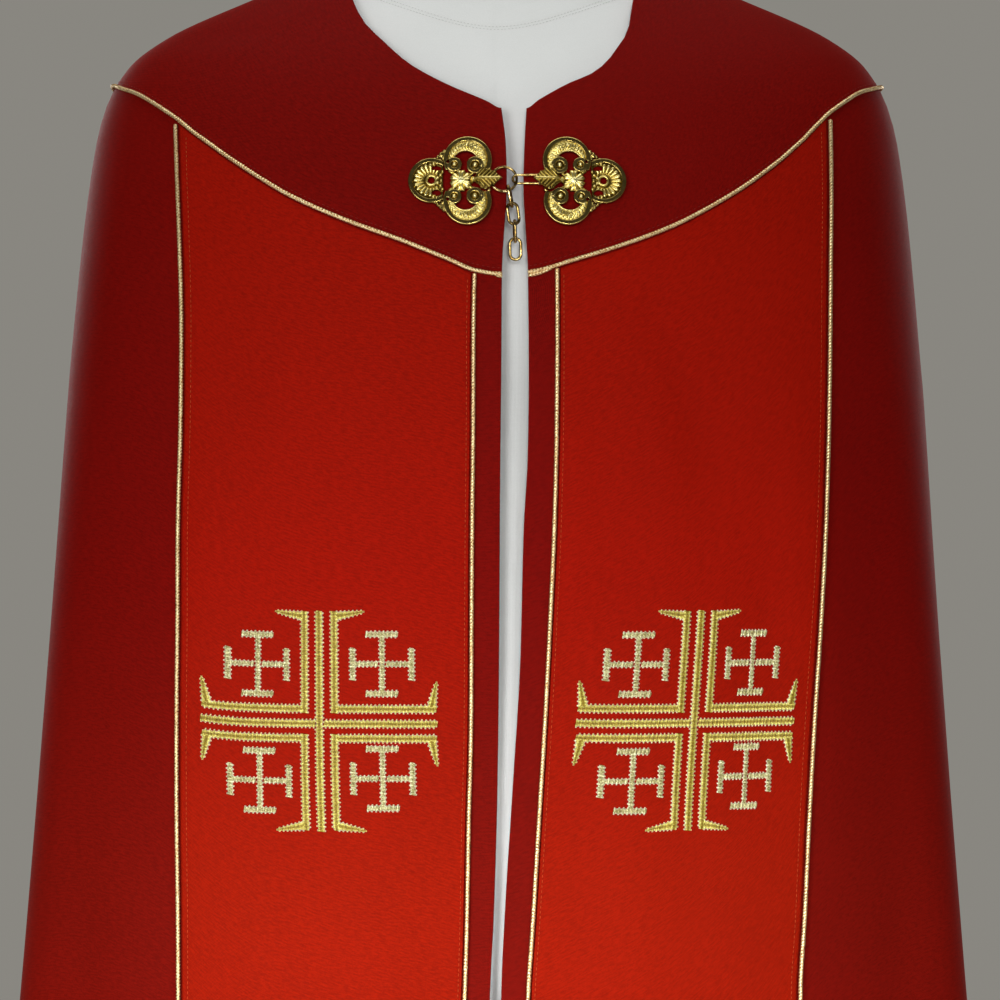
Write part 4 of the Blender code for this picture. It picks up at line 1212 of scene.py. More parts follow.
def great_cross():
    out = []
    out += bar_stitches((0, -ARM_DOWN), (0, ARM_UP), BAR_WIDE)
    skip = (ARM_SIDE - BAR_WIDE / 2 - POKE, ARM_SIDE + BAR_WIDE / 2 + POKE)
    out += bar_stitches((-ARM_SIDE, 0), (ARM_SIDE, 0), BAR_WIDE * 0.94, skip)
    half = OUTER_WIDE / 2
    for sx in (-1, 1):
        for sy, arm in ((-1, ARM_DOWN), (1, ARM_UP)):
            x, y = sx * OUTER_ACROSS, sy * OUTER_UP
            out += bar_stitches((x, y - sy * half * 0.9),
                                (x, sy * (arm - 0.0006)), OUTER_WIDE)
            out += bar_stitches((x + sx * half, y),
                                (sx * (ARM_SIDE - 0.0006), y), OUTER_WIDE)
            out += spur_stitches((x + sx * (half - 0.0006), sy * arm),
                                 (sx, 0), (0, -sy), SPUR_UP - half,
                                 SPUR_UP_WIDE)
            out += spur_stitches((sx * ARM_SIDE, y + sy * (half - 0.0006)),
                                 (0, sy), (-sx, 0), SPUR_SIDE - half,
                                 SPUR_SIDE_WIDE)
    return out


def small_cross(at):
    out = []
    for flip in (False, True):
        def turn(p):
            p = (p[1], p[0]) if flip else p
            return (p[0] + at[0], p[1] + at[1])
        inner = SMALL_HALF - SMALL_WIDE / 2
        skip = None
        if flip:
            skip = (inner - SMALL_WIDE / 2 - POKE, inner + SMALL_WIDE / 2 + POKE)
        out += bar_stitches(turn((0, -inner)), turn((0, inner)),
                            SMALL_WIDE * 0.92, skip)
        for end in (-1, 1):
            out += bar_stitches(turn((-SMALL_END / 2, end * SMALL_HALF)),
                                turn((SMALL_END / 2, end * SMALL_HALF)),
                                SMALL_WIDE)
    return out


def strands(stitches, place, lift):
    """Raised satin stitches as one mesh. place maps the design's points."""
    ends = np.array([(a, b) for a, b, _ in stitches], float)    # n, 2, 2
    fuller = np.array([wide for _, _, wide in stitches])[:, None, None]
    count = len(ends)
    shares = np.array((0.0, 0.035, 0.22, 0.5, 0.78, 0.965, 1.0))
    flat = (ends[:, 0, None] * (1 - shares)[None, :, None]
            + ends[:, 1, None] * shares[None, :, None])    # n, 7, 2
    length = np.linalg.norm(ends[:, 1] - ends[:, 0], axis=-1)
    height = lift * np.clip(length / 0.0055, 0.35, 1.15)
    height = height * NOISE.uniform(0.93, 1.07, count)
    dome_of = np.sqrt(np.clip(1 - np.abs(2 * shares - 1) ** 2.4, 0, 1))
    dome_of[[0, -1]] = 0.22
    dome_of = dome_of * np.array((1.0, 1.0, 1.0, 0.80, 1.0, 1.0, 1.0))
    up = height[:, None] * dome_of[None, :]
    surface, normal = place(flat[..., 0], flat[..., 1])
    along = unit(surface[:, -1] - surface[:, 0])[:, None]
    side = unit(np.cross(along, normal))
    half_wide = STITCH_PITCH * 0.54
    thick = 0.00030
    centre = surface + normal * (up - 0.00004)[..., None]
    wide = np.array((0.0, 0.80, 1.0, 1.0, 1.0, 0.80, 0.0))
    rings = []
    for k in range(7):
        if wide[k] == 0:
            rings.append((centre[:, k] - normal[:, k] * 0.00012)[:, None])
            continue
        w = half_wide * wide[k] * fuller[:, 0]
        rings.append(np.stack((centre[:, k] + normal[:, k] * thick,
                               centre[:, k] + side[:, k] * w,
                               centre[:, k] - normal[:, k] * thick,
                               centre[:, k] - side[:, k] * w), 1))
    verts = np.concatenate(rings, 1)                       # 1+4*5+1 = 22
    k = np.arange(4)
    m = (k + 1) % 4
    tris = np.concatenate((np.stack((np.zeros(4, int), 1 + k, 1 + m), -1),
                           np.stack((np.full(4, 21), 17 + m, 17 + k), -1)))
    quads = np.concatenate([np.stack((a + k, a + 4 + k, a + 4 + m, a + m), -1)
                            for a in (1, 5, 9, 13)])
    base = (np.arange(count) * 22)[:, None, None]
    tris = (tris[None] + base).reshape(-1, 3)
    quads = (quads[None] + base).reshape(-1, 4)
    across_bar = np.concatenate(([0.0], np.repeat(shares[1:-1], 4), [1.0]))
    uv = np.stack((np.broadcast_to(across_bar[None], (count, 22)),
                   np.broadcast_to((NOISE.uniform(0, 0.6, (count, 1))
                                    + 0.4 * (np.arange(count) % 2)[:, None]),
                                   (count, 22))), -1)
    return verts.reshape(-1, 3), [tris, quads], uv.reshape(-1, 2)


def on_orphrey(centre_x, centre_z, stretch, bend, lean, sag):
    """Place on the orphrey's face for a design's point."""
    def place(a, b):
        far = np.clip(-a / 0.0852, 0, 1.1) ** 4
        low = np.clip(-b / 0.0815, 0, 1.1) ** 2
        x = centre_x + a * stretch + bend * a * a + lean * b + sag[0] * low
        z = centre_z + b + sag[1] * far
        angle = angle_at(x, z)
        normal = cloth_normal(angle, z)
        return cloth_point(angle, z) + normal * (BAND_OUT + 0.00002), normal
    return place


CROSSES = (("left", -0.1278, 0.9560, 0.996, 0.0, -0.008, (0.0014, 0.0033)),
           ("right", 0.1418, 0.9560, 0.925, -0.85, 0.074, (0.0010, 0.0006)))
for side, x, z, stretch, bend, lean, sag in CROSSES:
    place = on_orphrey(x, z, stretch, bend, lean, sag)
    mesh = build_mesh("great_cross_%s" % side,
                      *strands(great_cross(), place, 0.00120))
    add_object("great_cross_%s" % side, mesh, YELLOW_GOLD)
    small = []
    for at in SMALL_CROSSES:
        small += small_cross(at)
    mesh = build_mesh("small_crosses_%s" % side,
                      *strands(small, place, 0.00100))
    add_object("small_crosses_%s" % side, mesh, PALE_GOLD)

# ------------------------------------------------------------- dress form
FORM_COLUMNS = ("height", "half_width", "front_depth", "back_depth",
                "square")
FORM = (
    (0.700, 0.130, 0.112, 0.085, 2.3), (0.704, 0.160, 0.142, 0.106, 2.3),
    (0.720, 0.172, 0.157, 0.116, 2.3), (0.780, 0.178, 0.166, 0.126, 2.4),
    (0.860, 0.180, 0.1655, 0.130, 2.4), (0.940, 0.177, 0.1635, 0.124, 2.4),
    (1.020, 0.172, 0.1605, 0.114, 2.4), (1.100, 0.173, 0.1565, 0.112, 2.4),
    (1.180, 0.178, 0.1515, 0.119, 2.4), (1.250, 0.185, 0.1470, 0.129, 2.3),
    (1.300, 0.192, 0.1415, 0.138, 2.3), (1.340, 0.203, 0.1345, 0.144, 2.3),
    (1.375, 0.217, 0.1245, 0.146, 2.3), (1.405, 0.226, 0.1130, 0.142, 2.3),
    (1.430, 0.227, 0.1010, 0.133, 2.2), (1.450, 0.219, 0.0905, 0.123, 2.1),
    (1.467, 0.201, 0.0805, 0.113, 2.0), (1.483, 0.176, 0.0715, 0.102, 2.0),
    (1.498, 0.146, 0.0640, 0.092, 2.0), (1.511, 0.118, 0.0590, 0.082, 2.0),
    (1.522, 0.094, 0.0565, 0.072, 2.0), (1.534, 0.077, 0.0560, 0.065, 2.0),
    (1.550, 0.068, 0.0560, 0.061, 2.0), (1.575, 0.065, 0.0560, 0.060, 2.0),
    (1.600, 0.064, 0.0550, 0.060, 2.0), (1.612, 0.060, 0.0510, 0.056, 2.0),
    (1.619, 0.050, 0.0410, 0.046, 2.0), (1.622, 0.030, 0.0240, 0.028, 2.0),
)
FORM_LEVEL = readers(FORM, FORM_COLUMNS)


def form_point(angle, height, out=0.0):
    turn = np.radians(angle)
    side, ahead = np.sin(turn), np.cos(turn)
    depth = np.where(ahead >= 0, FORM_LEVEL["front_depth"](height),
                     FORM_LEVEL["back_depth"](height))
    width = FORM_LEVEL["half_width"](height)
    square = FORM_LEVEL["square"](height)
    reach = ((np.abs(side) / width) ** square
             + (np.abs(ahead) / depth) ** square) ** (-1 / square) + out
    return np.stack((reach * side, -reach * ahead,
                     np.broadcast_to(height, reach.shape)), -1)


# The jersey cover's neck band: its two edges are level at the front and
# climb round to the sides.
def band_edge(front_height, angle):
    rise = 1 - np.cos(np.radians(angle))
    return front_height + 0.050 * rise ** 0.9


BAND_TOP, BAND_FOOT = 1.4845, 1.4722


def neck_band(angle, height):
    low, high = band_edge(BAND_FOOT, angle), band_edge(BAND_TOP, angle)
    return (0.0008 * smoothstep(-0.0006, 0.0006, height - low)
            - 0.0005 * smoothstep(-0.0006, 0.0006, height - high))


form_heights = np.concatenate((
    np.linspace(0.700, 0.7045, 4)[:-1], np.linspace(0.7045, 0.725, 6)[:-1],
    np.linspace(0.725, 1.445, 56)[:-1], np.linspace(1.445, 1.600, 104)[:-1],
    np.linspace(1.600, 1.622, 12)))
form_angles = np.arange(128) / 128 * 360.0
aa, hh = np.meshgrid(form_angles, form_heights)
points = form_point(aa, hh, neck_band(wrapped(aa), hh))
rows, cols = aa.shape
flat = points.reshape(-1, 3)
quads = grid_faces(rows, cols, wrap=True)
centre_low = len(flat)
flat = np.concatenate((flat, [[0, 0, 0.700], [0, 0, 1.6225]]))
k = np.arange(cols)
m = (k + 1) % cols
cap_low = np.stack((np.full(cols, centre_low), m, k), -1)
top = (rows - 1) * cols
cap_high = np.stack((np.full(cols, centre_low + 1), top + k, top + m), -1)
around = np.radians(aa) * 0.16
uv = np.stack((around, hh), -1).reshape(-1, 2)
uv = np.concatenate((uv, [[0, 0.7], [0, 1.62]]))
form_mesh = build_mesh("dress_form_cover", flat, [quads, cap_low, cap_high], uv)
form = add_object("dress_form_cover", form_mesh, JERSEY)
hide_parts("dress_form")


def band_stitches():
    rows = []
    angle = np.linspace(-150, 150, 400)
    for offset in (0.0010, 0.0032):
        height = band_edge(BAND_FOOT, angle) - offset
        line = form_point(angle, height, 0.0001)
        around = form_point(angle + 1, height) - form_point(angle - 1, height)
        up = form_point(angle, height + 0.002) - form_point(angle,
                                                            height - 0.002)
        rows.append(stitch_row(line, unit(np.cross(around, up)), 0.0017,
                               0.0010, 0.0005, 0.0004))
    return joined(rows)


add_object("form_stitches", build_mesh("form_stitches", *band_stitches()),
           WHITE_THREAD)


# ------------------------------------------------------------------ stand
def turned(name, profile, steps, node):
    """Turned body of the stand from (radius, height), top to bottom."""
    profile = np.array(profile, float)
    turns = np.arange(steps) / steps * 2 * np.pi
    verts = np.stack((profile[:, None, 0] * np.cos(turns),
                      profile[:, None, 0] * np.sin(turns),
                      np.broadcast_to(profile[:, None, 1],
                                      (len(profile), steps))), -1)
    flat = verts.reshape(-1, 3)
    base = len(flat)
    flat = np.concatenate((flat, [[0, 0, profile[0, 1]],
                                  [0, 0, profile[-1, 1]]]))
    k = np.arange(steps)
    m = (k + 1) % steps
    top = (len(profile) - 1) * steps
    mesh = build_mesh(name, flat, [
        grid_faces(len(profile), steps, wrap=True, flip=True),
        np.stack((np.full(steps, base), k, m), -1),
        np.stack((np.full(steps, base + 1), top + m, top + k), -1)])
    mesh.set_sharp_from_angle(angle=math.radians(45))
    piece = add_object(name, mesh, STEEL)
    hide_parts(node)
    return piece


def rounded(points, radius, steps=5):
    """A profile with its inner corners rounded."""
    out = [points[0]]
    for a, b, c in zip(points, points[1:], points[2:]):
        a, b, c = (np.array(p, float) for p in (a, b, c))
        r = min(radius, np.linalg.norm(a - b) * 0.45, np.linalg.norm(c - b) * 0.45)
        start, end = b + (a - b) / np.linalg.norm(a - b) * r, \
            b + (c - b) / np.linalg.norm(c - b) * r
        for s in np.linspace(0, 1, steps):
            out.append(tuple((1 - s) ** 2 * start + 2 * s * (1 - s) * b
                             + s * s * end))
    out.append(points[-1])
    return out


turned("stand_base_turned", rounded(
    [(0.0005, 0.040), (0.030, 0.040), (0.030, 0.018), (0.034, 0.0145),
     (0.182, 0.0118), (0.190, 0.0090), (0.190, 0.0), (0.0005, 0.0)],
    0.0035), 128, "stand_base")
turned("stand_pole_turned", rounded(
    [(0.0005, 0.6997), (0.016, 0.6997), (0.016, 0.0403), (0.0005, 0.0403)],
    0.0006), 64, "stand_pole")


# ---------------------------------------------------------------- clasps
CLASP_LIFT = 0.0011
CLASP_HEIGHT = 1.3482
LEFT_CLASP_X, RIGHT_CLASP_X = -0.0262, 0.0557
FASTENING_OUT = 0.0042
CLASP_STRETCH = (1.03, 1.05)
RING_RADIUS, RING_WIRE, RING_AT = 0.0093, 0.00085, 0.0312
RING_LEAN = math.radians(0.0)
LOOP_SPACING, LOOP_TILT, PIN_AT = 0.00644, math.radians(38.6), 0.0220
LINK_WIRE, LINK_LENGTH, LINK_WIDTH = 0.00102, 0.0153, 0.0079
LINK_TURNS = (82.0, 18.0, 95.0, 4.0)
LINK_LEANS = (11.0, 8.0, 2.0, 1.0)
LINK_PLAY = (0.0015, 0.0004, 0.0004, 0.0004)
CHAIN_FROM_BOTTOM = math.radians(24.0)


def plain_point(angle, height):
    """The CAD's cloth surface, which carries the clasps."""
    turn = math.radians(angle)
    reach = float(section(np.array(angle), np.array(height))
                  + fold_depth(np.array(angle), np.array(height)))
    return np.array((reach * math.sin(turn), -reach * math.cos(turn), height))


def clasp_frame(x):
    angle = float(angle_at(np.array(x), np.array(CLASP_HEIGHT)))
    around = plain_point(angle + 0.5, CLASP_HEIGHT) - plain_point(
        angle - 0.5, CLASP_HEIGHT)
    upward = plain_point(angle, CLASP_HEIGHT + 0.001) - plain_point(
        angle, CLASP_HEIGHT - 0.001)
    out = Vector(np.cross(around, upward)).normalized()
    along = Vector((0, 0, 1)).cross(out).normalized()
    up = out.cross(along).normalized()
    place = Vector(plain_point(angle, CLASP_HEIGHT)) + out * CLASP_LIFT
    matrix = Matrix((along, up, out)).transposed().to_4x4()
    matrix.translation = place
    return matrix


LEFT_PLANE, RIGHT_PLANE = clasp_frame(LEFT_CLASP_X), clasp_frame(RIGHT_CLASP_X)


def to_line(u, v, line):
    """Distance from a grid's points to a line, and how far along it is."""
    best = np.full(u.shape, 1e9)
    along = np.zeros(u.shape)
    side = np.zeros(u.shape)
    travelled = 0.0
    for (x0, y0), (x1, y1) in zip(line[:-1, :2], line[1:, :2]):
        dx, dy = x1 - x0, y1 - y0
        length = math.hypot(dx, dy)
        if length < 1e-9:
            continue
        t = np.clip(((u - x0) * dx + (v - y0) * dy) / length ** 2, 0, 1)
        ex, ey = u - (x0 + dx * t), v - (y0 + dy * t)
        d = np.hypot(ex, ey)
        closer = d < best
        best = np.where(closer, d, best)
        along = np.where(closer, travelled + t * length, along)
        side = np.where(closer, np.sign(dx * ey - dy * ex) * d, side)
        travelled += length
    return best, along, side, travelled


class Relief:
    """Cast relief over a plane, in millimetres: height and outline."""

    def __init__(self, low, high, step):
        self.us = np.arange(low[0], high[0] + step, step)
        self.vs = np.arange(low[1], high[1] + step, step)
        self.u, self.v = np.meshgrid(self.us, self.vs)
        self.height = np.zeros(self.u.shape)
        self.inside = np.full(self.u.shape, -1e3)
        self.polish = np.zeros(self.u.shape)
        self.step = step

    def cover(self, inside, height):
        self.inside = np.maximum(self.inside, inside)
        self.height = np.where(inside > -self.step * 1.5,
                               np.maximum(self.height, height), self.height)

    def cut(self, inside):
        self.inside = np.minimum(self.inside, -inside)

    def bead(self, u, v, radius, top, squash=1.0, turn=0.0):
        c, s = math.cos(turn), math.sin(turn)
        du, dv = self.u - u, self.v - v
        a, b = du * c + dv * s, (-du * s + dv * c) / squash
        d = np.hypot(a, b) / radius
        dome = np.sqrt(np.clip(1 - d * d, 0, 1))
        self.cover((1 - d) * radius * min(1.0, squash),
                   0.8 + (top - 0.8) * dome)

    def mesh(self, bottom, to_place):
        """Closed mesh of the relief, its outline cut between the points."""
        return outline_mesh(self, bottom, to_place)


def outline_mesh(relief, bottom, to_place):
    rows, cols = relief.u.shape
    f, h = relief.inside, relief.height
    us, vs = relief.us, relief.vs
    verts, tops, index, faces, polish = [], [], {}, [], []

    def corner(r, c):
        key = (r, c)
        if key not in index:
            index[key] = len(verts)
            verts.append((us[c], vs[r]))
            tops.append(h[r, c])
            polish.append(relief.polish[r, c])
        return index[key]

    def crossing(r0, c0, r1, c1):
        if (r1, c1) < (r0, c0):
            r0, c0, r1, c1 = r1, c1, r0, c0
        key = (r0, c0, r1, c1)
        if key not in index:
            t = f[r0, c0] / (f[r0, c0] - f[r1, c1])
            t = min(0.98, max(0.02, t))
            index[key] = len(verts)
            verts.append((us[c0] + (us[c1] - us[c0]) * t,
                          vs[r0] + (vs[r1] - vs[r0]) * t))
            inner = h[r0, c0] if f[r0, c0] > 0 else h[r1, c1]
            tops.append(min(inner, max(0.8, inner - 0.35)))
            polish.append(relief.polish[r0, c0])
        return index[key]

    solid = f > 0
    count = (solid[:-1, :-1].astype(int) + solid[:-1, 1:] + solid[1:, 1:]
             + solid[1:, :-1])
    for r, c in zip(*np.nonzero(count)):
        ring = ((r, c), (r, c + 1), (r + 1, c + 1), (r + 1, c))
        inside = [solid[p] for p in ring]
        if all(inside):
            faces.append([corner(*p) for p in ring])
            continue
        if inside in ([True, False, True, False], [False, True, False, True]):
            middle = sum(f[p] for p in ring) > 0
            if not middle:
                for k in range(4):
                    if inside[k]:
                        faces.append([corner(*ring[k]),
                                      crossing(*ring[k], *ring[(k + 1) % 4]),
                                      crossing(*ring[k], *ring[k - 1])])
                continue
        polygon = []
        for k in range(4):
            a, b = ring[k], ring[(k + 1) % 4]
            if inside[k]:
                polygon.append(corner(*a))
            if inside[k] != inside[(k + 1) % 4]:
                polygon.append(crossing(*a, *b))
        if len(polygon) >= 3:
            faces.append(polygon)
    verts = np.array(verts)
    tops = np.array(tops)
    count = len(verts)
    hollow = callable(bottom)
    low = bottom(verts[:, 0], verts[:, 1]) if hollow else np.full(count, bottom)
    edges = set()
    for face in faces:
        for a, b in zip(face, face[1:] + face[:1]):
            if (b, a) in edges:
                edges.remove((b, a))
            else:
                edges.add((a, b))
    walls = [(b, a, a + count, b + count) for a, b in sorted(edges)]
    top3 = np.column_stack((verts, tops + (low if hollow else 0.0)))
    low3 = np.column_stack((verts, low))
    places = to_place(np.concatenate((top3, low3)) / 1000.0)
    under = [[i + count for i in reversed(face)] for face in faces]
    every = faces + under + [list(w) for w in walls]
    by_size = {}
    for face in every:
        by_size.setdefault(len(face), []).append(face)
    # The map holds how polished each point is, and its height.
    uv = np.column_stack((polish, tops / 4.0))
    uv = np.concatenate((uv, np.column_stack((polish, np.zeros(count)))))
    mesh = build_mesh("relief", places,
                      [np.array(group) for group in by_size.values()], uv)
    bm = bmesh.new()
    bm.from_mesh(mesh)
    bmesh.ops.recalc_face_normals(bm, faces=bm.faces)
    bm.to_mesh(mesh)
    bm.free()
    mesh.shade_smooth()
    mesh.set_sharp_from_angle(angle=math.radians(62))
    return mesh


RELIEF_STEP = 0.27
SCROLL = (4.7, 14.9)         # centre of a scroll's outer circle
SCROLL_R = 17.1
OPENING = (3.2, 12.4, 8.9)   # its clear middle: centre and radius
FAR_VOLUTE = (-4.7, 11.6, 5.3)
NEAR_VOLUTE = (9.9, 11.2, 6.1)
HUB = (-20.9, 0.0)
SHELL_R = 16.3
BAND = 3.3                   # plain polished rim
FLORETS = (-22.0, 18.0, 58.0, 94.0, 132.0)


def dome(x):
    return np.sqrt(np.clip(1 - x * x, 0, 1))


def flat_band(r, inner, outer, top, bevel=0.5):
    """Height of a polished rim between two radii."""
    edge = np.clip(np.minimum(r - inner, outer - r) / bevel, 0, 1)
    crown = 0.22 * dome((r - (inner + outer) / 2) / ((outer - inner) / 2))
    return top - bevel * (1 - np.sqrt(1 - (1 - edge) ** 2)) + crown


def floret(relief, u, v, radius, top, petals=5, turn=0.0):
    du, dv = relief.u - u, relief.v - v
    r, at = np.hypot(du, dv), np.arctan2(dv, du)
    lobes = 0.72 + 0.28 * np.cos(petals * (at - turn))
    reach = radius * (0.80 + 0.20 * np.cos(petals * (at - turn)))
    body = top * dome(r / reach) * lobes
    body = np.where(r < radius * 0.30, top * 0.95, body)
    relief.height = np.where(r < reach, np.maximum(relief.height, body),
                             relief.height)


def shell_relief(relief):
    du, dv = relief.u - HUB[0], relief.v - HUB[1]
    r, turn = np.hypot(du, dv), np.degrees(np.arctan2(dv, du)) % 360
    off = np.where(turn > 180, 360 - turn, turn)      # 0 at the fastening
    right = relief.u + 12.6
    inside = np.minimum(SHELL_R - r, -right * 1.0)
    relief.cover(inside, np.full(r.shape, 0.95))
    # Flutes of the shell, rounded at their outer ends.
    first, count = 50.0, 15
    lobe = (off - first) / (180.0 - first) * count / 2
    lobe = np.where(turn > 180, count - lobe, lobe)
    across = np.abs((lobe % 1.0) - 0.5) * 2
    far = np.interp(off, (50, 70, 100, 180), (10.6, 11.6, 12.3, 12.6))
    tip = far - 1.6 * across ** 2
    t = np.clip((r - 3.2) / (tip - 3.2), 0, 1)
    ends = np.sqrt(np.clip(1 - ((t - 0.62) / 0.40) ** 4, 0, 1))
    height = 0.95 + (0.5 + 1.75 * t) * dome(across) * ends
    live = (r > 3.2) & (r < tip) & (off > first)
    relief.height = np.where(live, np.maximum(relief.height, height),
                             relief.height)
    band = (r > SHELL_R - BAND) & (off > 38)
    relief.height = np.where(band, flat_band(r, SHELL_R - BAND, SHELL_R, 2.2),
                             relief.height)
    relief.polish = np.where(band, 1.0, relief.polish)
    ring = 0.9 + 1.5 * dome((r - 3.3) / 1.0)
    relief.height = np.where(np.abs(r - 3.3) < 1.0, ring, relief.height)
    for up in (1, -1):
        for u, v, rad, top in ((-16.4, 1.9, 1.35, 2.7), (-14.4, 3.9, 1.25, 2.5),
                               (-13.9, 0.3, 1.0, 2.3), (-16.9, 4.6, 1.0, 2.2),
                               (-13.0, 6.4, 1.1, 2.3), (-19.4, 12.0, 1.2, 2.6),
                               (-17.0, 12.6, 1.3, 2.6), (-14.6, 12.0, 1.1, 2.3)):
            relief.bead(u, v * up, rad, top)
        moon = np.hypot((relief.u + 17.2) / 3.4, (relief.v - up * 8.9) / 2.0)
        relief.cut((1 - moon) * 1.6)
    relief.cut(2.35 - r)


def rosette_relief(relief):
    du, dv = relief.u, relief.v
    r = np.hypot(du, dv)
    relief.cover(6.9 - r, np.full(r.shape, 1.1))
    for k in range(6):
        at = math.radians(60 * k + 30)
        c, s = math.cos(at), math.sin(at)
        a, b = du * c + dv * s, -du * s + dv * c
        wide = 0.75 + 2.15 * np.clip(a / 5.6, 0, 1)
        crown = dome(b / np.maximum(wide, 0.1))
        tip = np.sqrt(np.clip(1 - np.clip((a - 4.6) / 3.1, 0, 1) ** 2, 0, 1))
        crease = 0.85 * np.exp(-(b / 0.36) ** 2) * smoothstep(1.0, 3.0, a)
        height = 1.2 + (2.5 - 0.10 * a) * crown * tip - crease * crown * tip
        live = (a > 0.2) & (np.abs(b) < wide) & (a < 7.7)
        relief.cover(np.where(live, np.minimum(wide - np.abs(b), 7.7 - a),
                              -1.0),
                     np.where(live, height, 0.0))
    relief.bead(0, 0, 1.15, 3.7)


def scroll_relief(relief, up):
    u, v = relief.u, relief.v * up
    cu, cv = SCROLL
    r = np.hypot(u - cu, v - cv)
    turn = np.degrees(np.arctan2(v - cv, u - cu))       # 0 at the fastening
    opening = OPENING[2] - np.hypot(u - OPENING[0], v - OPENING[1])
    volutes = np.full(u.shape, -99.0)
    for x, y, radius in (FAR_VOLUTE, NEAR_VOLUTE):
        volutes = np.maximum(volutes, radius - np.hypot(u - x, v - y))
    disc = SCROLL_R - r
    # The foot of the circle is open between the volutes, above the rosette.
    low = v - 6.4 - 0.10 * np.abs(u - 2.6)
    inside = np.minimum(np.minimum(disc, -opening), low)
    inside = np.maximum(inside, volutes)
    notch = np.minimum(1.55 - np.abs(u - 2.7), 13.0 - v)
    inside = np.minimum(inside, -notch)
    relief.cover(inside, np.full(u.shape, 0.9))
    live = inside > -0.3
    relief.polish = np.where(live, 0.0, relief.polish)
    # Chased leaves between the rim and the opening.
    outer, depth = SCROLL_R - BAND, -opening
    wide = np.maximum(outer - r, 0) + np.maximum(depth, 0)
    share = np.clip(np.maximum(outer - r, 0) / np.maximum(wide, 0.1), 0, 1)
    crown = dome(2 * share - 1)
    leaf = (turn / 12.6 + 0.55 * np.abs(2 * share - 1)) % 1.0
    scale = np.sqrt(np.clip(1 - (2 * leaf - 1) ** 2, 0, 1))
    vein = np.cos(turn / 12.6 * 2 * np.pi * 3) * 0.20
    height = 1.25 + crown * (0.52 + 0.92 * scale + vein)
    chased = live & (r < outer) & (depth > 1.1) & (volutes < 0.2)
    relief.height = np.where(chased, np.maximum(relief.height, height),
                             relief.height)
    for at in FLORETS:
        a = math.radians(at)
        reach = 10.9
        floret(relief, cu + reach * math.cos(a), up * (cv + reach * math.sin(a)),
               1.95, 3.3, 5, a * up)
    lip = live & (np.abs(depth - 0.62) < 0.62) & (r < outer) & (volutes < 0)
    relief.height = np.where(lip, 1.5 + 1.15 * dome((depth - 0.62) / 0.62),
                             relief.height)
    rim = live & (r > outer) & (r < SCROLL_R) & ((volutes < 0) | (v > 10.0))
    relief.height = np.where(rim, flat_band(r, outer, SCROLL_R, 2.25),
                             relief.height)
    relief.polish = np.where(rim & (r < SCROLL_R - 0.45), 1.0, relief.polish)
    # Volutes: the rim curls in round a ball.
    for (x, y, radius), ball, sense in ((FAR_VOLUTE, 1.75, -1),
                                        (NEAR_VOLUTE, 2.0, 1)):
        rv = np.hypot(u - x, v - y)
        tv = np.arctan2(v - y, (u - x) * sense)
        coil = radius - 2.3 - 0.42 * (tv + np.pi) / (2 * np.pi)
        within = live & (rv < radius)
        body = flat_band(rv, coil - 0.5, radius, 2.55, 0.45)
        body = np.where(rv < coil - 0.5, 0.85, body)
        relief.height = np.where(within, np.maximum(
            np.where(rv < coil - 0.2, 0, relief.height), body), relief.height)
        relief.polish = np.where(within & (rv > coil - 0.5), 0.9,
                                 relief.polish)
        relief.bead(x, y * up, ball, 3.7)
    for x, y, rad, top, squash, at in (
            (-13.6, 18.6, 2.5, 2.0, 0.62, 0.55), (-16.4, 17.2, 1.5, 2.6, 0.8, 0.9),
            (-14.2, 19.6, 1.5, 2.7, 0.8, 0.6), (-11.9, 21.4, 1.5, 2.6, 0.8, 0.4),
            (-18.6, 15.4, 1.3, 2.3, 0.9, 1.2), (-12.6, 16.2, 1.4, 2.2, 0.8, 0.3),
            (-15.4, 14.6, 1.6, 2.0, 0.8, 0.3),
            (20.0, 7.0, 1.8, 2.4, 0.6, -0.7), (17.6, 5.2, 1.6, 2.2, 0.7, -0.4),
            (14.9, 4.4, 1.4, 2.0, 0.8, 0.0)):
        relief.bead(x, y * up, rad, top, squash, at * up)
    for line, half, top in ((((-8.2, 7.4), (-4.4, 4.4)), 1.1, 1.7),
                            (((8.4, 5.6), (5.4, 3.6)), 1.2, 1.7)):
        points = np.array([(x, y * up) for x, y in line])
        d, _, _, _ = to_line(relief.u, relief.v, points)
        relief.cover(half - d, top * np.sqrt(np.clip(1 - (d / half) ** 2 * 0.6,
                                                     0.2, 1)))
    hole = 1.15 - np.hypot(u + 9.3, v - 13.6)
    relief.cut(hole)


LEAF = ((6.6, 2.2), (8.2, 2.4), (9.2, 1.7), (10.2, 2.2), (12.2, 4.4),
        (14.6, 6.8), (16.0, 7.9), (16.8, 7.2), (17.0, 5.6), (18.6, 6.6),
        (20.6, 7.3), (21.4, 6.4), (21.5, 4.8), (23.0, 5.2), (24.3, 4.9),
        (24.9, 3.6), (26.4, 2.2), (28.2, 0.9), (29.2, 0.2))


def leaf_rise(u, v):
    """How far the leaf's underside stands out of the plate."""
    return 2.0 + 5.4 * smoothstep(6.5, 14.0, u) - 0.4 * smoothstep(
        24.0, 29.5, u)


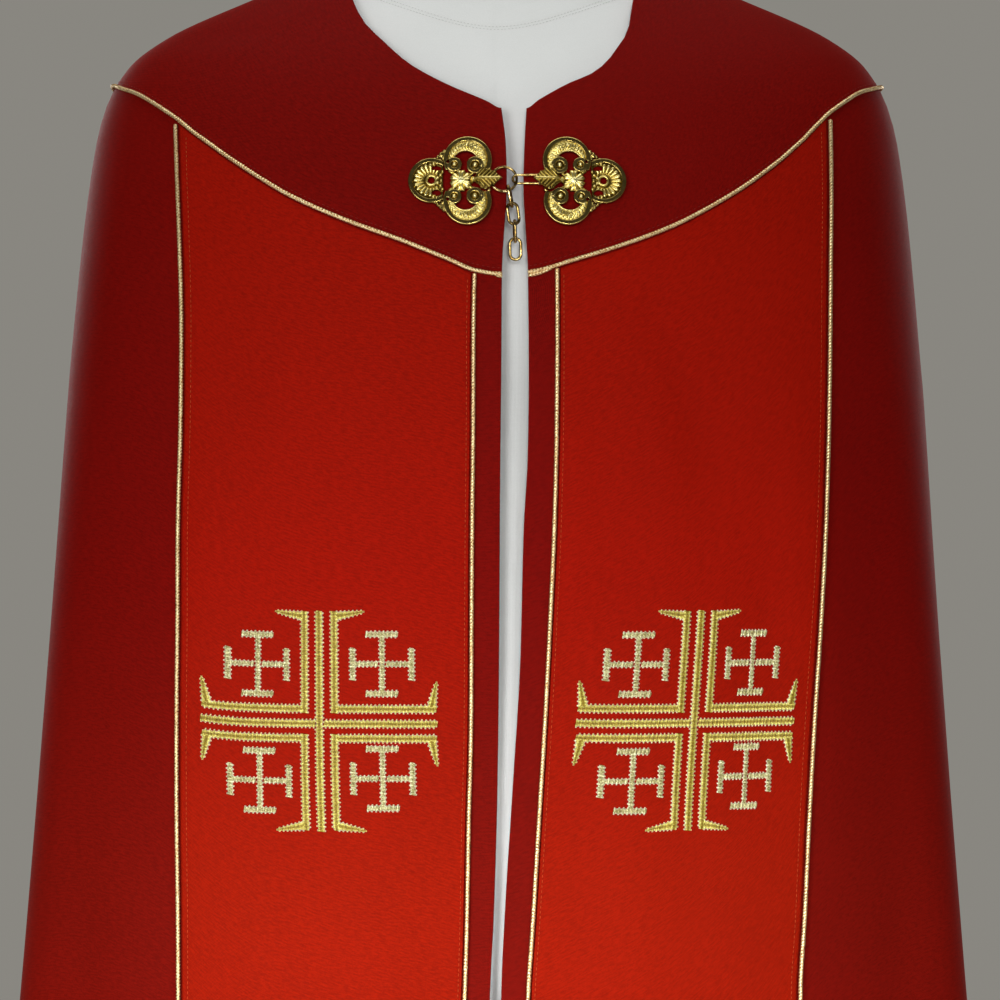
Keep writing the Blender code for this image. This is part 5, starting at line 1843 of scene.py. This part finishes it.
def leaf_mesh(to_place):
    relief = Relief((5.5, -9.2), (30.2, 9.2), 0.2)
    u, v = relief.u, relief.v
    # Outline through the lobes: distance to it decides what is leaf.
    upper = np.array(LEAF)
    line = np.concatenate((upper, (upper * (1, -1))[::-1]))
    line = np.concatenate((line, line[:1]))
    d, _, side, _ = to_line(u, v, line)
    within = inside_polygon(u, v, line)
    relief.inside = np.where(within, d, -d)
    spread = np.abs(v)
    ridge = 0.95 * np.exp(-(v / 0.55) ** 2) + 0.35 * np.exp(-(v / 1.6) ** 2)
    fan = u - spread * 1.02
    ribs = 0.42 * np.cos(2 * np.pi * (fan - 7.6) / 3.05)
    rib_live = smoothstep(0.5, 1.6, spread) * smoothstep(10.5, 12.5, u)
    edge = np.sqrt(np.clip(1 - (1 - np.clip(relief.inside / 1.0, 0, 1)) ** 2,
                           0, 1))
    collar = 0.8 * np.exp(-((u - 8.4) / 0.7) ** 2)
    relief.height = 0.75 + edge * (0.55 + ridge + ribs * rib_live + collar)
    relief.height *= np.where(relief.inside > 0, 1, 1)
    return outline_mesh(relief, leaf_rise, to_place)


def inside_polygon(u, v, line):
    odd = np.zeros(u.shape, bool)
    for (x0, y0), (x1, y1) in zip(line[:-1], line[1:]):
        if y0 == y1:
            continue
        cross = ((v > min(y0, y1)) & (v <= max(y0, y1))
                 & (u < x0 + (v - y0) * (x1 - x0) / (y1 - y0)))
        odd ^= cross
    return odd


def box_part(u0, u1, v0, v1, w0, w1, bevel=0.0003):
    bm = bmesh.new()
    bmesh.ops.create_cube(bm, size=1.0)
    for v in bm.verts:
        v.co = ((u0 + u1) / 2 + v.co.x * (u1 - u0),
                (v0 + v1) / 2 + v.co.y * (v1 - v0),
                (w0 + w1) / 2 + v.co.z * (w1 - w0))
    bmesh.ops.bevel(bm, geom=list(bm.edges), offset=bevel, segments=3,
                    profile=0.5, affect="EDGES")
    mesh = bpy.data.meshes.new("block")
    bm.to_mesh(mesh)
    bm.free()
    return mesh


def clasp(name, node, side, plane):
    def to_place(points, stretch=CLASP_STRETCH):
        p = points.copy()
        p[:, 0] *= side * stretch[0]
        p[:, 1] *= stretch[1]
        m = np.array(plane, float)
        return p @ m[:3, :3].T + m[:3, 3]
    relief = Relief((-38.4, -33.4), (23.4, 33.4), RELIEF_STEP)
    shell_relief(relief)
    for up in (1, -1):
        scroll_relief(relief, up)
    rosette_relief(relief)
    pieces = [relief.mesh(0.0, to_place), leaf_mesh(to_place)]
    blocks = []
    if side > 0:
        # Lug under the leaf that the ring passes through.
        eye = (RING_AT - RING_RADIUS) * 1000
        blocks += [(eye - 2.3, eye - 1.15, -1.5, 1.5, 2.0, 7.7),
                   (eye + 1.15, eye + 2.3, -1.5, 1.5, 2.0, 7.7),
                   (eye - 2.3, eye + 2.3, -1.5, 1.5, 1.4, 2.6)]
    else:
        at = PIN_AT * 1000
        blocks += [(at - 1.1, at + 1.1, 4.7, 6.0, 3.1, 7.7),
                   (at - 1.1, at + 1.1, -6.0, -4.7, 3.1, 7.7)]
    for u0, u1, v0, v1, w0, w1 in blocks:
        mesh = box_part(u0 / 1000, u1 / 1000, v0 / 1000, v1 / 1000, w0 / 1000,
                        w1 / 1000)
        co = np.array([v.co for v in mesh.vertices])
        co = to_place(co, (1.0, 1.0))
        mesh.vertices.foreach_set("co", co.ravel())
        if side < 0:
            mesh.flip_normals()
        mesh.shade_smooth()
        mesh.set_sharp_from_angle(angle=math.radians(50))
        pieces.append(mesh)
    if side < 0:
        wire = np.stack((np.full(12, -PIN_AT), np.linspace(-0.00525, 0.00525,
                                                           12),
                         np.full(12, FASTENING_OUT)), -1)
        m = np.array(plane, float)
        wire = wire @ m[:3, :3].T + m[:3, 3]
        verts, faces, uv = sweep(wire, RING_WIRE, 20)
        pieces.append(build_mesh("pin", verts, faces))
    bm = bmesh.new()
    for mesh in pieces:
        bm.from_mesh(mesh)
    whole = bpy.data.meshes.new(name)
    bm.to_mesh(whole)
    bm.free()
    piece = add_object(name, whole, GILT)
    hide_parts(node)
    return piece


clasp("clasp_left_cast", "clasp_left", 1, LEFT_PLANE)
clasp("clasp_right_cast", "clasp_right", -1, RIGHT_PLANE)


# ------------------------------------------------- ring, loop and chain
def stadium(length, width, steps):
    radius, straight = width / 2, length / 2 - width / 2
    turn = np.pi * np.arange(steps + 1) / steps
    top = np.stack((radius * np.cos(turn), straight + radius * np.sin(turn)), -1)
    low = np.stack((radius * np.cos(turn + np.pi),
                    -straight + radius * np.sin(turn + np.pi)), -1)
    sides = max(2, int(straight * 2 / 0.0008))
    s = np.linspace(0, 1, sides + 1)[1:-1, None]
    left = top[-1] + (low[0] - top[-1]) * s
    right = low[-1] + (top[0] - low[-1]) * s
    return np.concatenate((top, left, low, right))


def wire_piece(name, node, points, wire, body):
    verts, faces, uv = sweep(points, wire, 16, closed=True)
    mesh = build_mesh(name, verts, faces)
    bm = bmesh.new()
    bm.from_mesh(mesh)
    bmesh.ops.recalc_face_normals(bm, faces=bm.faces)
    bm.to_mesh(mesh)
    bm.free()
    piece = add_object(name, mesh, GILT_WIRE, body)
    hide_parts(node)
    return piece


def moved(points, matrix):
    m = np.array(matrix, float)
    return points @ m[:3, :3].T + m[:3, 3]


turns = np.arange(96) / 96 * 2 * np.pi
ring_place = (LEFT_PLANE @ Matrix.Translation((RING_AT, 0, FASTENING_OUT))
              @ Matrix.Rotation(RING_LEAN, 4, "X"))
circle = np.stack((RING_RADIUS * np.cos(turns), RING_RADIUS * np.sin(turns),
                   np.zeros(96)), -1)
wire_piece("clasp_ring_wire", "clasp_ring", moved(circle, ring_place),
           RING_WIRE + 0.00012, "cope")

ring_side = ring_place @ Vector((RING_RADIUS, 0, 0))
pin_place = RIGHT_PLANE @ Vector((-PIN_AT, 0, FASTENING_OUT))
along = (pin_place - ring_side).normalized()
facing = (LEFT_PLANE.to_3x3() @ Vector((0, 0, 1))
          + RIGHT_PLANE.to_3x3() @ Vector((0, 0, 1))).normalized()
facing = (facing - along * facing.dot(along)).normalized()
rise = facing.cross(along)
PASSING = 2 * RING_WIRE + GAP + 0.0008
cross_axis = rise * math.cos(LOOP_TILT) + facing * math.sin(LOOP_TILT)
loop_length = (pin_place - ring_side).length + 2 * PASSING
loop_frame = Matrix((along, cross_axis,
                     along.cross(cross_axis))).transposed().to_4x4()
loop_frame.translation = (ring_side + pin_place) / 2
flat_loop = stadium(loop_length, LOOP_SPACING, 16)
wire_piece("clasp_loop_wire", "clasp_loop",
           moved(np.stack((flat_loop[:, 1], flat_loop[:, 0],
                           np.zeros(len(flat_loop))), -1), loop_frame),
           RING_WIRE + 0.00006, "cope")

pivot = ring_place @ Vector((RING_RADIUS * math.sin(CHAIN_FROM_BOTTOM),
                             -RING_RADIUS * math.cos(CHAIN_FROM_BOTTOM), 0))
hanging_from = RING_WIRE
for number, (turn, lean, play) in enumerate(
        zip(LINK_TURNS, LINK_LEANS, LINK_PLAY), start=1):
    hang = Matrix.Rotation(math.radians(-lean), 4, "Y")
    over = hanging_from + LINK_WIRE + play
    centre = over - LINK_LENGTH / 2
    outline = stadium(LINK_LENGTH, LINK_WIDTH, 14)
    points = np.stack((outline[:, 0], np.zeros(len(outline)),
                       outline[:, 1] + centre), -1)
    matrix = Matrix.Translation(pivot) @ hang @ Matrix.Rotation(
        math.radians(turn), 4, "Z")
    wire_piece("chain_link_%d_wire" % number, "chain_link_%d" % number,
               moved(points, matrix), LINK_WIRE + 0.00013,
               "link_%d" % number)
    pivot = pivot + hang @ Vector((0, 0, over - LINK_LENGTH))
    hanging_from = LINK_WIRE


# ---------------------------------------------------- cloth areas
def area_of(obj):
    """Half of a thin shell's surface."""
    return sum(p.area for p in obj.data.polygons) / 2


SHEETS = (
    (body, (3.60, 1.36), 0.52, "hung", ["yoke_cloth", "dress_form_cover"], []),
    (yoke, (0.66, 0.52), 0.63, "laid", ["dress_form_cover"],
     ["cord_yoke_twist", "yoke_stitches"]),
    (orphrey_left, (0.213, 1.32), 0.97, "hung", ["cope_body_cloth"],
     ["great_cross_left", "small_crosses_left"]),
    (orphrey_right, (0.205, 1.32), 0.97, "hung", ["cope_body_cloth"],
     ["great_cross_right", "small_crosses_right"]),
)
print("HEM", lengths_along(body_points[-1:], 1)[0, -1],
      "SEAM", lengths_along(body_points[:1], 1)[0, -1],
      "NECK", lengths_along(yoke_points[:1], 1)[0, -1],
      "LENGTH", lengths_along(body_points, 0)[-1, [0, 150, -1]])
for piece, flat, share, held, rests, extra in SHEETS:
    print("SHEET", piece.name, round(area_of(piece), 4),
          round(share * flat[0] * flat[1], 4))

# ----------------------------------------------------------------- studio
BACKDROP = (0.250, 0.240, 0.216)
floor_mesh = bpy.data.meshes.new("floor")
bm = bmesh.new()
bmesh.ops.create_circle(bm, cap_ends=True, segments=96, radius=30.0)
bm.to_mesh(floor_mesh)
bm.free()
floor = bpy.data.objects.new("floor", floor_mesh)
floor.location = (0, 0, -0.0005)
bpy.context.scene.collection.objects.link(floor)
n = Nodes("pale_floor")
place = n.add("ShaderNodeTexCoord").outputs["Object"]
n.link(n.ramp(n.noise(place, 3.0, 3.0), ((0.3, (0.50, 0.495, 0.48)),
                                         (0.7, (0.54, 0.535, 0.52)))),
       n.shader.inputs["Base Color"])
n.set(Roughness=0.8)
# Away from the object the floor runs into the backdrop's grey.
away = n.add("ShaderNodeVectorMath", operation="LENGTH")
n.link(place, away.inputs[0])
far = n.add("ShaderNodeMapRange", interpolation_type="SMOOTHSTEP")
far.inputs["From Min"].default_value = 0.7
far.inputs["From Max"].default_value = 3.0
n.link(away.outputs["Value"], far.inputs["Value"])
grey = n.add("ShaderNodeEmission")
grey.inputs["Color"].default_value = (*BACKDROP, 1.0)
blend = n.add("ShaderNodeMixShader")
n.link(far.outputs["Result"], blend.inputs[0])
n.link(n.shader.outputs[0], blend.inputs[1])
n.link(grey.outputs[0], blend.inputs[2])
n.link(blend.outputs[0], n.tree.nodes["Material Output"].inputs["Surface"])
floor_mesh.materials.append(n.mat)
floor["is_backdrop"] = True


def area_light(name, location, target, power, size, size_y=None, spread=180):
    data = bpy.data.lights.new(name, "AREA")
    data.energy = power
    data.spread = math.radians(spread)
    data.shape = "RECTANGLE"
    data.size = size
    data.size_y = size_y or size
    obj = bpy.data.objects.new(name, data)
    obj.location = location
    obj.rotation_euler = (Vector(target) - Vector(location)).to_track_quat(
        "-Z", "Y").to_euler()
    bpy.context.scene.collection.objects.link(obj)
    obj.visible_camera = False
    return obj


area_light("key_low_left", (-0.62, -1.28, 0.62), (-0.05, -0.17, 0.61), 1.65,
           0.50, 0.40, 64)
area_light("key_low_right", (0.60, -1.32, 0.62), (0.10, -0.17, 0.61), 0.95,
           0.45, 0.40, 64)
area_light("soft_left", (-0.95, -2.45, 1.45), (0, 0, 1.15), 20, 0.9, 1.1)
area_light("front_fill", (0.22, -2.60, 1.50), (0.0, 0, 1.20), 13.5, 0.30, 0.45)
area_light("soft_right", (0.95, -2.60, 1.40), (0, 0, 1.15), 1.2, 0.8, 1.0)
area_light("overhead", (0.0, 0.0, 3.2), (0, 0, 0.9), 22, 2.0)
area_light("behind_left", (-1.9, 2.4, 1.9), (0, 0, 0.9), 38, 1.4)
area_light("behind_right", (2.0, 2.2, 1.7), (0, 0, 0.9), 26, 1.4)

world = bpy.data.worlds.new("studio")
bpy.context.scene.world = world
world.use_nodes = True
tree = world.node_tree
background = tree.nodes["Background"]
path = tree.nodes.new("ShaderNodeLightPath")
mix = tree.nodes.new("ShaderNodeMix")
mix.data_type = "RGBA"
mix.inputs[6].default_value = (0.085, 0.083, 0.078, 1.0)
mix.inputs[7].default_value = (*BACKDROP, 1.0)
tree.links.new(path.outputs["Is Camera Ray"], mix.inputs[0])
tree.links.new(mix.outputs[2], background.inputs["Color"])
background.inputs["Strength"].default_value = 1.0

triangles = {}
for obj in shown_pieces():
    count = sum(len(p.vertices) - 2 for p in obj.data.polygons)
    triangles[obj.name] = count
print("TRIANGLES", sum(triangles.values()), triangles)
